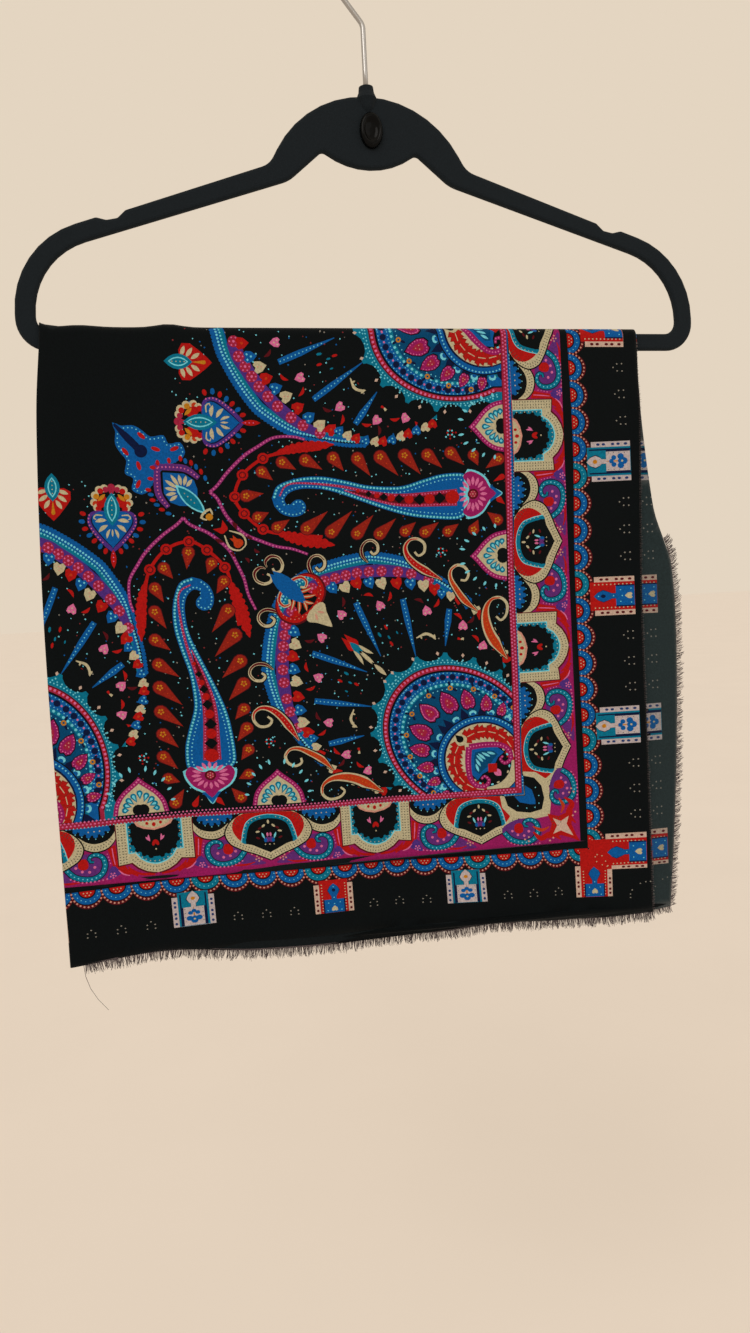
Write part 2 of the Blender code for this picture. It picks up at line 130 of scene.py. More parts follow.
# Vertical edges of the cloth: distance below the bar's top, place across the hanger.
Edge = namedtuple("Edge", "drop x")
LEFT_FOLD = (
    Edge(-0.006, -0.2083),
    Edge(0.003, -0.2092),
    Edge(0.041, -0.2136),
    Edge(0.082, -0.2162),
    Edge(0.136, -0.2185),
    Edge(0.390, -0.2200),
)
OUTER_FRONT_RIGHT = (
    Edge(-0.006, 0.1783),
    Edge(0.042, 0.1788),
    Edge(0.100, 0.1774),
    Edge(0.180, 0.1752),
    Edge(0.270, 0.1753),
    Edge(0.400, 0.1757),
)
INNER_FRONT_RIGHT = (
    Edge(-0.006, 0.1793),
    Edge(0.042, 0.1803),
    Edge(0.072, 0.1828),
    Edge(0.100, 0.1860),
    Edge(0.120, 0.1892),
    Edge(0.135, 0.1943),
    Edge(0.150, 0.1994),
    Edge(0.170, 0.2017),
    Edge(0.200, 0.2026),
    Edge(0.235, 0.2021),
    Edge(0.336, 0.1969),
    Edge(0.400, 0.1912),
)
OUTER_BACK_RIGHT = (Edge(-0.006, 0.1783), Edge(0.200, 0.1765), Edge(0.400, 0.1750))
INNER_BACK_RIGHT = (
    Edge(-0.006, 0.1793),
    Edge(0.080, 0.1815),
    Edge(0.130, 0.1880),
    Edge(0.180, 0.1955),
    Edge(0.250, 0.1975),
    Edge(0.400, 0.1880),
)
# Hems: place across the hanger, distance below the bar's top.
Hem = namedtuple("Hem", "x drop")
HEM_FRONT = (
    Hem(-0.220, 0.3915),
    Hem(-0.182, 0.3878),
    Hem(-0.162, 0.3871),
    Hem(-0.123, 0.3915),
    Hem(-0.060, 0.3957),
    Hem(0.019, 0.3982),
    Hem(0.060, 0.3976),
    Hem(0.102, 0.4005),
    Hem(0.140, 0.4023),
    Hem(0.195, 0.4005),
)
HEM_BACK = (Hem(-0.220, 0.3850), Hem(-0.100, 0.3858), Hem(0.060, 0.3920), Hem(0.195, 0.3955))
# Slack folds that lift the cloth off the bar, and the sway of the hanging cloth as sine waves across it.
Hump = namedtuple("Hump", "x rise width")
HUMPS = (Hump(-0.186, 0.0012, 0.012), Hump(-0.133, 0.0020, 0.010))
Sway = namedtuple("Sway", "size length phase")
SWAYS = (Sway(0.0022, 0.270, 0.6), Sway(0.0012, 0.118, 2.1))
# Soft creases that run down from the bar: where each lies, how far it leans in a metre, how far it stands
# out, its width, and how far below the bar's top it starts. Positive ones stand towards +Y.
Crease = namedtuple("Crease", "x lean rise width start")
CREASE_GROWTH = 0.12
CREASES_FRONT = (
    Crease(-0.190, 0.03, 0.0011, 0.012, 0.02),
    Crease(-0.151, 0.10, -0.0014, 0.015, 0.02),
    Crease(-0.108, -0.06, 0.0012, 0.018, 0.03),
    Crease(-0.040, 0.16, -0.0013, 0.016, 0.10),
    Crease(0.012, -0.05, 0.0011, 0.024, 0.05),
    Crease(0.078, 0.07, -0.0012, 0.014, 0.16),
    Crease(0.128, -0.03, 0.0010, 0.012, 0.04),
    Crease(0.163, 0.02, -0.0009, 0.009, 0.12),
)
CREASES_BACK = (
    Crease(-0.172, 0.07, 0.0013, 0.014, 0.02),
    Crease(-0.120, -0.08, -0.0012, 0.017, 0.08),
    Crease(-0.052, 0.05, 0.0012, 0.020, 0.03),
    Crease(0.022, -0.12, -0.0013, 0.015, 0.12),
    Crease(0.090, 0.06, 0.0011, 0.019, 0.04),
    Crease(0.150, -0.03, -0.0010, 0.012, 0.06),
)


def mix(a, b, t):
    return a + (b - a) * t


def smoothstep(t):
    t = np.clip(t, 0.0, 1.0)
    return t * t * (3 - 2 * t)


def along(rows, key):
    """Reads a two-column table at key, on a smooth curve through its rows."""
    keys, values = np.array(rows, float).T
    key = np.clip(key, keys[0], keys[-1])
    slopes = np.gradient(values, keys)
    i = np.clip(np.searchsorted(keys, key) - 1, 0, len(keys) - 2)
    span = keys[i + 1] - keys[i]
    t = (key - keys[i]) / span
    near = (1 + 2 * t) * (1 - t) ** 2 * values[i] + t * (1 - t) ** 2 * span * slopes[i]
    far = t * t * (3 - 2 * t) * values[i + 1] - t * t * (1 - t) * span * slopes[i + 1]
    return near + far


def lift_at(x):
    """How far the cloth's top stands above the bar's: over the corner on the left, and in its slack folds."""
    beyond = np.clip(-x - (INNER_HALF_WIDTH - INNER_CORNER_RADIUS), 0.0, CORNER_REACH)
    corner = INNER_CORNER_RADIUS - np.sqrt(INNER_CORNER_RADIUS**2 - beyond**2)
    return corner + sum(hump.rise * np.exp(-(((x - hump.x) / hump.width) ** 2)) for hump in HUMPS)


def tangent_drop(x):
    """Where the cloth leaves the bar's rounded top, as a distance below the bar's top."""
    return BODY_DEPTH / 2 - lift_at(x)


def sway(x, drop):
    grown = smoothstep((drop - WAVE_START) / (HEM_MEAN - WAVE_START))
    return grown * sum(s.size * np.sin(2 * math.pi * x / s.length + s.phase) for s in SWAYS)


def creases(x, drop, rows):
    total = 0.0
    for crease in rows:
        grown = smoothstep((drop - crease.start) / CREASE_GROWTH)
        total = total + crease.rise * grown * np.exp(
            -(((x - crease.x - crease.lean * drop) / crease.width) ** 2)
        )
    return total


def edge_curl(x, drop, right, curl):
    """How far the cloth's free edge bends away from the layer behind it."""
    grown = smoothstep((drop - WAVE_START) / WAVE_START)
    return curl * grown * np.maximum(0.0, (x - right + CURL_WIDTH) / CURL_WIDTH) ** 2


class Layer:
    """One layer of the cloth, from its front hem over the bar to its back hem.

    A point of it is x, across the hanger, and v, along the cloth: the distance below the bar's top in front,
    which runs on over the bar and down behind it as a falling number.
    """

    def __init__(self, far, folded, front_right, back_right, curls):
        self.far = far
        self.folded = folded
        self.rights = {-1: front_right, 1: back_right}
        self.curls = curls

    def parts(self, x, v):
        """How far a point is over the bar, its distance below the bar's top, and which side it hangs on."""
        tangent = tangent_drop(x)
        over = tangent - v
        behind = over > math.pi * self.far
        drop = np.where(behind, tangent + over - math.pi * self.far, v)
        return over, drop, np.where(behind, 1, -1)

    def behind(self, x, drop):
        """The v of a point behind the bar."""
        return 2 * tangent_drop(x) - math.pi * self.far - drop

    def right(self, drop, side):
        return np.where(side < 0, along(self.rights[-1], drop), along(self.rights[1], drop))

    def turn(self, drop):
        """Where the fold starts to turn back."""
        return along(LEFT_FOLD, drop) + FOLD_RADIUS

    def left(self, drop):
        """The layer's left edge on the flat cloth: past the fold, or beside the other layer's lip."""
        if self.folded:
            return self.turn(drop) - math.pi * FOLD_RADIUS - FOLD_LIP
        return self.turn(drop) + FOLD_LIP + GAP

    def place(self, x, v, inset=0.0):
        """Points in space. inset is how far they lie below the layer's outer face."""
        over, drop, side = self.parts(x, v)
        level = np.maximum(drop, 0.0)
        right = self.right(level, side)
        curl = np.where(side < 0, self.curls[0], self.curls[1])
        distance = self.far - inset + edge_curl(x, drop, right, curl)
        across = x
        if self.folded:
            turn = self.turn(level)
            angle = np.clip((turn - x) / FOLD_RADIUS, 0.0, math.pi)
            past = np.maximum(turn - x - math.pi * FOLD_RADIUS, 0.0)
            radius = FOLD_RADIUS - inset
            across = np.where(x < turn, turn - radius * np.sin(angle) + past, x)
            distance = np.where(x < turn, FOLD_MIDDLE + radius * np.cos(angle), distance)
        folds = np.where(side < 0, creases(across, drop, CREASES_FRONT), creases(across, drop, CREASES_BACK))
        hanging = side * distance + sway(across, drop) + folds
        turned = np.clip(over / self.far, 0.0, math.pi)
        on_bar = (over > 0) & (side < 0)
        y = np.where(on_bar, -distance * np.cos(turned), hanging)
        z = np.where(on_bar, distance * np.sin(turned) - tangent_drop(across), -drop)
        return np.stack([across, y, BAR_TOP + z], axis=-1)


# How finely the cloth is divided, in metres along the flat cloth.
FINE_CELL = 0.0064
COARSE_CELL = 0.0128
FOLD_BENDS = 8
BAR_BENDS = 14
CURL_COLUMNS = 6
CLOTH_THICKNESS = 0.0004
SAME_PLACE = 0.000002
# The triangulation keeps all triangles, and joins points nearer than this many millimetres.
WHOLE_PLANE = 0
NEAREST = 1e-5

# The lines of a grid on the flat cloth: the part of it that a line lies in, and how far through that part.
Line = namedtuple("Line", "part t")


def lines(part, count, first=1):
    return [Line(part, i / count) for i in range(first, count + 1)]


def column_lines(layer, cell):
    coarse = 2 if cell > FINE_CELL else 1
    count = round((OUTER_FRONT_RIGHT[-1].x - LEFT_FOLD[-1].x) / cell)
    found = [Line("flat", 0.0)]
    if layer.folded:
        found = lines("lip", 2, 0) + lines("bend", FOLD_BENDS // coarse)
    return found + lines("flat", count) + lines("curl", CURL_COLUMNS // coarse)


def row_lines(front, cell):
    coarse = 2 if cell > FINE_CELL else 1
    hanging = lines("hang", round(HEM_MEAN / cell), 1 if front else 0)
    if front:
        return lines("seam", 2, 0) + lines("bar", BAR_BENDS // coarse) + hanging
    return hanging[::-1]


def flat_grid(layer, front, cell):
    """The flat cloth's points as rows of columns, and which of its lines the triangles have to keep to."""
    columns, rows = column_lines(layer, cell), row_lines(front, cell)
    side = -1 if front else 1
    start = 0.0 if front else SEAM_DROP + GAP
    hem = HEM_FRONT if front else HEM_BACK
    bar = math.pi * layer.far
    grid = np.zeros((len(rows), len(columns), 2))
    for i, row in enumerate(rows):
        drop = {"seam": SEAM_DROP, "bar": 0.0, "hang": mix(start, HEM_MEAN, row.t)}[row.part]
        left, right = layer.left(drop), layer.right(drop, side)
        turn = layer.turn(drop)
        parts = {
            "lip": (left, turn - math.pi * FOLD_RADIUS),
            "bend": (turn - math.pi * FOLD_RADIUS, turn),
            "flat": (turn if layer.folded else left, right - CURL_WIDTH),
            "curl": (right - CURL_WIDTH, right),
        }
        x = np.array([mix(*parts[column.part], column.t) for column in columns])
        held = np.maximum(x, turn)
        tangent = tangent_drop(held)
        if row.part == "seam":
            v = mix(layer.behind(held, SEAM_DROP), tangent - bar, row.t)
        elif row.part == "bar":
            v = mix(tangent - bar, tangent, row.t)
        elif front:
            v = mix(tangent, along(hem, held), row.t)
        else:
            v = layer.behind(held, mix(start, along(hem, held), row.t))
        grid[i] = np.stack([x, v], axis=-1)
    edges = []
    for i in range(len(rows)):
        for j in range(len(columns)):
            here = i * len(columns) + j
            if i + 1 < len(rows) and columns[j].part in ("lip", "bend"):
                edges.append((here, here + len(columns)))
            if j + 1 < len(columns) and rows[i].part in ("seam", "bar"):
                edges.append((here, here + 1))
    return grid, edges


def tidy_loop(points):
    """A loop that ends at its leftmost point, in the direction that has the inside on its left there."""
    points = points[np.linalg.norm(points - np.roll(points, 1, axis=0), axis=1) > SAME_PLACE]
    last = np.lexsort((points[:, 1], points[:, 0]))[0]
    points = np.roll(points, -last - 1, axis=0)
    ahead, back = points[0] - points[-1], points[-2] - points[-1]
    if ahead[0] * back[1] < ahead[1] * back[0]:
        points = np.roll(points[::-1], -1, axis=0)
    return points


def triangulate(points, edges, loops):
    vectors = [Vector(point) for point in (points / MM).tolist()]
    return delaunay_2d_cdt(vectors, edges, loops, WHOLE_PLANE, NEAREST, True)


def all_shapes(grid, edges, ring, shapes):
    """Every shape's outline cut into the flat cloth: points, triangles, and the shape on top of each."""
    low, high = ring.min(axis=0), ring.max(axis=0)
    seen = []
    for number, shape in enumerate(shapes):
        if (shape.min(axis=0) < high).all() and (shape.max(axis=0) > low).all():
            seen.append(number)
    parts = [grid.reshape(-1, 2)]
    loops = []
    count = len(parts[0])
    for loop in [ring] + [shapes[number] for number in seen]:
        loop = tidy_loop(loop)
        parts.append(loop)
        loops.append(list(range(count, count + len(loop))))
        count += len(loop)
    found = triangulate(np.concatenate(parts), edges, loops)
    triangles, on_top = [], []
    for face, owners in zip(found[2], found[5]):
        if 0 in owners:
            top = max(owners)
            triangles.append(face)
            on_top.append(seen[top - 1] if top else -1)
    return np.array(found[0]), np.array(triangles), np.array(on_top)


def colour_borders(triangles, tones):
    """The edges whose two triangles have different colours."""
    sides = np.concatenate([triangles[:, (0, 1)], triangles[:, (1, 2)], triangles[:, (2, 0)]])
    sides.sort(axis=1)
    tones = np.tile(tones, 3)
    order = np.lexsort((sides[:, 1], sides[:, 0]))
    sides, tones = sides[order], tones[order]
    shared = (sides[1:] == sides[:-1]).all(axis=1) & (tones[1:] != tones[:-1])
    return sides[1:][shared]


def raised(points):
    """Flat points with a height of nothing."""
    return np.pad(points, ((0, 0), (0, 1))).tolist()


def outer_skin(grid, edges, shapes, inks):
    """The outer face on the flat cloth: its points, its triangles, and the colour of each.

    inks names a colour for each shape. Outlines that other shapes cover are left out.
    """
    ring = np.concatenate([grid[0, :-1], grid[:-1, -1], grid[-1, :0:-1], grid[:0:-1, 0]])
    places, pieces, on_top = all_shapes(grid, edges, ring, shapes)
    tones = np.concatenate([inks, [-1]])[on_top]
    borders = colour_borders(pieces, tones)
    used, numbers = np.unique(borders, return_inverse=True)
    count = grid.shape[0] * grid.shape[1]
    ring = tidy_loop(ring)
    points = np.concatenate([grid.reshape(-1, 2), ring, places[used] * MM])
    kept = edges + (numbers.reshape(-1, 2) + count + len(ring)).tolist()
    found = triangulate(points, kept, [list(range(count, count + len(ring)))])
    flat = np.array(found[0])
    triangles = np.array([face for face, owners in zip(found[2], found[5]) if owners])
    tree = BVHTree.FromPolygons(raised(places), pieces.tolist(), all_triangles=True)
    lying = [tree.find_nearest(middle)[2] for middle in raised(flat[triangles].mean(axis=1))]
    return flat * MM, triangles, tones[lying]


def rim_loop(triangles):
    """The edges that only one triangle has, as one loop of points."""
    sides = set()
    for a, b, c in triangles.tolist():
        sides.update(((a, b), (b, c), (c, a)))
    follow = {start: end for start, end in sides if (end, start) not in sides}
    loop = [min(follow)]
    while follow[loop[-1]] != loop[0]:
        loop.append(follow[loop[-1]])
    return loop


def inner_skin(ring, grid, edges):
    """A coarse face with the outer face's rim: its points, its triangles, and the rim's places in it."""
    inside = np.zeros(grid.shape[:2], bool)
    inside[1:-1, 1:-1] = True
    index = np.full(grid.shape[0] * grid.shape[1], -1)
    index[inside.reshape(-1)] = len(ring) + np.arange(inside.sum())
    points = np.concatenate([ring, grid[inside]])
    kept = [(int(index[a]), int(index[b])) for a, b in edges if index[a] >= 0 and index[b] >= 0]
    found = triangulate(points, kept, [list(range(len(ring)))])
    places = {}
    for new, olds in enumerate(found[3]):
        for old in olds:
            places[old] = new
    rim = [places[i] for i in range(len(ring))]
    inner = [face for face, owners in zip(found[2], found[5]) if owners]
    return np.array(found[0]) * MM, np.array(inner), rim


# Materials. Colours are sRGB, 0 to 255, set by eye and against mean colours of the photograph and the render.
INKS = {
    "black": (6, 12, 15),
    "blue": (6, 90, 165),
    "teal": (2, 116, 150),
    "turquoise": (116, 212, 232),
    "ember": (146, 34, 22),
    "red": (176, 20, 18),
    "orange": (186, 58, 22),
    "magenta": (150, 26, 98),
    "pink": (212, 108, 160),
    "plum": (146, 44, 116),
    "purple": (96, 44, 122),
    "cream": (190, 182, 150),
    "gold": (190, 126, 28),
    "wine": (88, 14, 24),
    "rose": (130, 45, 50),
    "shell": (204, 148, 132),
    "pale": (200, 174, 160),
    "raspberry": (160, 34, 66),
    "violet": (78, 46, 132),
    "deep": (0, 72, 118),
    "lilac": (188, 178, 182),
    "denim": (36, 58, 112),
    "ash": (140, 137, 130),
    "navy": (8, 22, 62),
    "lining": (18, 24, 27),
    "reverse": (35, 49, 53),
    "reverse_dash": (66, 70, 62),
}
PRINT_COLOUR = "Print"


def linear(colour):
    """A colour from 0 to 255 as Blender's linear light."""
    values = np.array(colour, float) / 255
    return np.where(values <= 0.04045, values / 12.92, ((values + 0.055) / 1.055) ** 2.4)


class Nodes:
    """A new material and short calls for its nodes."""

    def __init__(self, name):
        self.material = bpy.data.materials.new(name)
        self.material.use_nodes = True
        self.tree = self.material.node_tree
        self.shader = self.tree.nodes["Principled BSDF"]

    def set(self, **values):
        for name, value in values.items():
            self.shader.inputs[name.replace("_", " ")].default_value = value

    def add(self, kind, settings=(), **values):
        node = self.tree.nodes.new(kind)
        for name, value in dict(settings).items():
            setattr(node, name, value)
        for name, value in values.items():
            socket = node.inputs[name.replace("_", " ")]
            if isinstance(value, bpy.types.NodeSocket):
                self.tree.links.new(value, socket)
            else:
                socket.default_value = value
        return node

    def join(self, output, name):
        self.tree.links.new(output, self.shader.inputs[name])

    def place(self, scale):
        """The point in the object's own metres, scaled."""
        where = self.add("ShaderNodeTexCoord").outputs["Object"]
        mapping = self.add("ShaderNodeMapping", Vector=where)
        mapping.inputs["Scale"].default_value = scale
        return mapping.outputs["Vector"]

    def noise(self, scale, detail=2.0):
        vector = self.place((1, 1, 1))
        return self.add("ShaderNodeTexNoise", Vector=vector, Scale=scale, Detail=detail).outputs["Fac"]

    def bump(self, height, strength, distance):
        made = self.add("ShaderNodeBump", Height=height, Strength=strength, Distance=distance)
        self.join(made.outputs["Normal"], "Normal")

    def roughness(self, noise, low, high):
        """A roughness that follows a noise."""
        made = self.add("ShaderNodeMapRange", Value=noise)
        made.inputs["To Min"].default_value = low
        made.inputs["To Max"].default_value = high
        self.join(made.outputs["Result"], "Roughness")

    def varied(self, colour, amount, noise, depth=1.0):
        """A colour that grows lighter and darker with a noise. depth is its share of the full brightness."""
        swing = self.add("ShaderNodeMapRange", Value=noise)
        swing.inputs["From Min"].default_value = 0.3
        swing.inputs["From Max"].default_value = 0.7
        swing.inputs["To Min"].default_value = depth * (1 - amount)
        swing.inputs["To Max"].default_value = depth * (1 + amount)
        made = self.add("ShaderNodeVectorMath", {"operation": "SCALE"})
        if isinstance(colour, bpy.types.NodeSocket):
            self.tree.links.new(colour, made.inputs[0])
        else:
            made.inputs[0].default_value = tuple(linear(colour))
        self.tree.links.new(swing.outputs["Result"], made.inputs["Scale"])
        return made.outputs["Vector"]


def weave(nodes, pitch):
    """Threads over and under, as a height."""
    turns = math.pi / pitch
    across = nodes.add("ShaderNodeSeparateXYZ", Vector=nodes.place((turns, turns, turns)))
    waves = []
    for axis in ("X", "Z"):
        waves.append(nodes.add("ShaderNodeMath", {"operation": "SINE"}, Value=across.outputs[axis]))
    made = nodes.add("ShaderNodeMath", {"operation": "MULTIPLY"})
    for i, wave in enumerate(waves):
        nodes.tree.links.new(wave.outputs[0], made.inputs[i])
    return made.outputs[0]


THREAD_PITCH = 0.0005
INK_DEPTH = 0.74
FLOCK_COLOUR = (24, 30, 35)
STEEL_COLOUR = (168, 167, 166)
GLOSS_COLOUR = (6, 7, 8)
FLOOR_COLOUR = (219, 212, 205)


def cloth_material(name, roughness, sheen, relief):
    nodes = Nodes(name)
    nodes.set(Roughness=roughness, Sheen_Weight=sheen, Sheen_Roughness=0.45, Specular_IOR_Level=0.06)
    printed = nodes.add("ShaderNodeAttribute", {"attribute_name": PRINT_COLOUR}).outputs["Color"]
    nodes.join(nodes.varied(printed, 0.2, nodes.noise(900.0, 4.0), INK_DEPTH), "Base Color")
    nodes.bump(weave(nodes, THREAD_PITCH), strength=relief, distance=0.0002)
    return nodes.material


def flock_material():
    nodes = Nodes("flocking")
    nodes.set(Roughness=0.95, Sheen_Weight=0.04, Sheen_Roughness=0.5, Specular_IOR_Level=0.06)
    fibres = nodes.noise(2600.0, 6.0)
    nodes.join(nodes.varied(FLOCK_COLOUR, 0.35, fibres), "Base Color")
    nodes.bump(fibres, strength=0.5, distance=0.0006)
    return nodes.material


def steel_material():
    nodes = Nodes("hook_wire")
    nodes.set(Metallic=1.0, Specular_IOR_Level=0.5)
    drawn = nodes.add("ShaderNodeTexNoise", Vector=nodes.place((900, 900, 40)), Scale=1.0, Detail=3.0)
    nodes.join(nodes.varied(STEEL_COLOUR, 0.04, drawn.outputs["Fac"]), "Base Color")
    nodes.roughness(drawn.outputs["Fac"], 0.28, 0.38)
    return nodes.material


def gloss_material():
    nodes = Nodes("gloss_moulding")
    nodes.set(Coat_Weight=0.06, Coat_Roughness=0.04, Specular_IOR_Level=0.05)
    smudge = nodes.noise(300.0, 3.0)
    nodes.join(nodes.varied(GLOSS_COLOUR, 0.15, smudge), "Base Color")
    nodes.roughness(smudge, 0.10, 0.22)
    return nodes.material


def thread_material():
    nodes = Nodes("fringe_thread")
    nodes.set(Roughness=0.85, Sheen_Weight=0.1, Sheen_Roughness=0.4, Specular_IOR_Level=0.12)
    dyed = nodes.add("ShaderNodeAttribute", {"attribute_name": PRINT_COLOUR}).outputs["Color"]
    twist = nodes.noise(2500.0, 2.0)
    nodes.join(nodes.varied(dyed, 0.2, twist), "Base Color")
    nodes.bump(twist, strength=0.3, distance=0.0002)
    return nodes.material


def floor_material():
    nodes = Nodes("floor")
    nodes.set(Roughness=1.0, Specular_IOR_Level=0.0)
    nodes.join(nodes.varied(FLOOR_COLOUR, 0.01, nodes.noise(3.0, 3.0)), "Base Color")
    return nodes.material


def add_mesh(name, points, faces, material, colours=None, smooth=True):
    """A mesh object. colours holds one linear colour for each face."""
    mesh = bpy.data.meshes.new(name)
    mesh.from_pydata(np.asarray(points).tolist(), [], [list(face) for face in faces])
    mesh.polygons.foreach_set("use_smooth", [smooth] * len(mesh.polygons))
    if colours is not None:
        sizes = np.array([len(face) for face in faces])
        layer = mesh.color_attributes.new(PRINT_COLOUR, "BYTE_COLOR", "CORNER")
        corners = np.repeat(colours, sizes, axis=0)
        corners = np.concatenate([corners, np.ones((len(corners), 1))], axis=1)
        layer.data.foreach_set("color", corners.astype(np.float32).ravel())
    mesh.materials.append(material)
    obj = bpy.data.objects.new(name, mesh)
    bpy.context.scene.collection.objects.link(obj)
    return obj


def carried(obj, slot, *nodes):
    """Lets a piece ride on the object in place of its solids."""
    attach(obj, "root")
    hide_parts(*nodes)
    return obj


# The share of the baking map that each face of the cloth gets, and where it starts.
PRINT_SHARE = 0.88
REVERSE_SHARE = 0.08
MAP_EDGE = 0.01
REVERSE_CORNER = (0.91, MAP_EDGE)


def baking_map(mesh, flat, count):
    """A flat map for baking: the outer face's count points large, the inner face small beside it."""
    low = flat.min(axis=0)
    size = (flat.max(axis=0) - low).max()
    outer = (flat - low) / size
    places = outer * PRINT_SHARE + MAP_EDGE
    places[count:] = outer[count:] * REVERSE_SHARE + REVERSE_CORNER
    layer = mesh.uv_layers.new(name="OFBake")
    corners = np.zeros(len(mesh.loops), int)
    mesh.loops.foreach_get("vertex_index", corners)
    layer.data.foreach_set("uv", places[corners].astype(np.float32).ravel())


# One side of the cloth: its print, how strongly that shows, and the ground colours there and on the other
# side.
Face = namedtuple("Face", "slot material shapes strength ground below")


def add_cloth(name, node, layer, front, face):
    """One stretch of a layer as a closed shell."""
    grid, edges = flat_grid(layer, front, FINE_CELL)
    names = list(INKS)
    inks = np.array([names.index(shape.ink) for shape in face.shapes])
    flat, outer, tones = outer_skin(grid, edges, [shape.points for shape in face.shapes], inks)
    rim = rim_loop(outer)
    coarse, coarse_edges = flat_grid(layer, front, COARSE_CELL)
    under, inner, under_rim = inner_skin(flat[rim], coarse, coarse_edges)
    places = layer.place(flat[:, 0], flat[:, 1], 0.0)
    under_places = layer.place(under[:, 0], under[:, 1], CLOTH_THICKNESS)
    count = len(flat)
    inner = inner + count
    under_rim = np.array(under_rim) + count
    rim = np.array(rim)
    after, under_after = np.roll(rim, -1), np.roll(under_rim, -1)
    hem = np.concatenate([np.stack([rim, after, under_after], 1), np.stack([rim, under_after, under_rim], 1)])
    faces = np.concatenate([outer[:, ::-1], inner, hem])
    ground = np.array(face.ground)
    palette = [linear(mix(ground, np.array(INKS[ink]), face.strength)) for ink in names] + [linear(ground)]
    reverse = np.tile(linear(face.below), (len(inner) + len(hem), 1))
    colours = np.concatenate([np.array(palette)[tones], reverse])
    obj = add_mesh(name, np.concatenate([places, under_places]), faces, face.material, colours)
    baking_map(obj.data, np.concatenate([flat, under]), count)
    return carried(obj, face.slot, node)


# The pen. A shape of the print is its ink and its outline, in millimetres.
Shape = namedtuple("Shape", "ink points")


def smooth(points, step=2.2, closed=False):
    """A smooth curve through the points, with places about a step apart."""
    points = np.array(points, float)
    if closed:
        row = np.concatenate([points[-1:], points, points[:2]])
    else:
        row = np.concatenate([[2 * points[0] - points[1]], points, [2 * points[-1] - points[-2]]])
    made = []
    for a, b, c, d in zip(row, row[1:], row[2:], row[3:]):
        count = max(1, math.ceil(np.linalg.norm(c - b) / step))
        t = (np.arange(count) / count)[:, None]
        made.append(
            b + (c - a) * t / 2 + (a - 2.5 * b + 2 * c - d / 2) * t**2 + (1.5 * (b - c) + (d - a) / 2) * t**3
        )
    if not closed:
        made.append(points[-1:])
    return np.concatenate(made)


def reach_of(path):
    return np.concatenate([[0.0], np.cumsum(np.linalg.norm(np.diff(path, axis=0), axis=1))])


def normals(path):
    steps = np.gradient(path, axis=0)
    steps /= np.maximum(np.linalg.norm(steps, axis=1), 1e-9)[:, None]
    return np.stack([-steps[:, 1], steps[:, 0]], axis=1)


def beside(path, distance):
    return path + normals(path) * distance


LOOK_AHEAD = 0.3


def spots(path, pitch, start=0.5):
    """Places along a path at an even pitch, with the path's direction at each."""
    reach = reach_of(path)
    count = max(1, round(reach[-1] / pitch))
    s = (np.arange(count) + start) * reach[-1] / count
    at = np.stack([np.interp(s, reach, path[:, i]) for i in (0, 1)], axis=1)
    ahead = np.stack([np.interp(s + LOOK_AHEAD, reach, path[:, i]) for i in (0, 1)], axis=1)
    behind = np.stack([np.interp(s - LOOK_AHEAD, reach, path[:, i]) for i in (0, 1)], axis=1)
    turns = np.arctan2((ahead - behind)[:, 1], (ahead - behind)[:, 0])
    return list(zip(at, turns))


def patch(ink, points):
    return Shape(ink, np.array(points, float))


def blob(ink, points, step=2.2):
    return Shape(ink, smooth(points, step, True))


# Ovals smaller than this have four sides.
SMALL_DOT = 0.75
MOST_SIDES = 40


def oval(ink, at, half_long, half_wide=None, turn=0.0, sides=0):
    half_wide = half_long if half_wide is None else half_wide
    sides = sides or int(min(MOST_SIDES, max(6, 5 + 2.2 * half_long)))
    sides = 4 if half_long < SMALL_DOT else sides
    angles = np.arange(sides) * 2 * math.pi / sides + 0.2
    x, y = half_long * np.cos(angles), half_wide * np.sin(angles)
    c, s = math.cos(turn), math.sin(turn)
    return Shape(ink, np.array(at, float) + np.stack([x * c - y * s, x * s + y * c], axis=1))


def ribbon(ink, points, widths, step=2.2, curved=True):
    """A band along a path. widths are spread evenly along it."""
    path = smooth(points, step) if curved else np.array(points, float)
    reach = reach_of(path)
    half = np.interp(reach / reach[-1], np.linspace(0, 1, len(widths)), widths) / 2
    side = normals(path) * half[:, None]
    return Shape(ink, np.concatenate([path + side, (path - side)[::-1]]))


LEAF_STEPS = 6


def leaf(ink, start, end, width, bend=0.0):
    """A pointed leaf between two places, bowed sideways by bend."""
    start, end = np.array(start, float), np.array(end, float)
    along_it = end - start
    across = np.array((-along_it[1], along_it[0])) / max(np.linalg.norm(along_it), 1e-9)
    t = np.linspace(0, 1, LEAF_STEPS + 1)
    spine = start + along_it * t[:, None] + across * (bend * np.sin(math.pi * t))[:, None]
    side = across * (width / 2 * np.sin(math.pi * t) ** 0.8)[:, None]
    return Shape(ink, np.concatenate([spine + side, (spine - side)[1:-1][::-1]]))


def drop(ink, head, tail, width):
    """A teardrop: round at its head, pointed at its tail."""
    head, tail = np.array(head, float), np.array(tail, float)
    away = head - tail
    angle = math.atan2(away[1], away[0])
    radius = width / 2
    turns = angle + np.radians([-100, -65, -32, 0, 32, 65, 100])
    arc = head + radius * np.stack([np.cos(turns), np.sin(turns)], axis=1)
    return Shape(ink, np.concatenate([arc, [tail]]))


def dots(ink, radius, *places):
    return [oval(ink, at, radius) for at in places]


def around(at, distance, count, start=0.0):
    """Places at even angles round a middle."""
    angles = [2 * math.pi * k / count + start for k in range(count)]
    return [(at[0] + distance * math.cos(angle), at[1] + distance * math.sin(angle)) for angle in angles]


def beads(ink, path, pitch, radius, sides=5, start=0.5):
    return [oval(ink, at, radius, sides=sides) for at, _ in spots(path, pitch, start)]


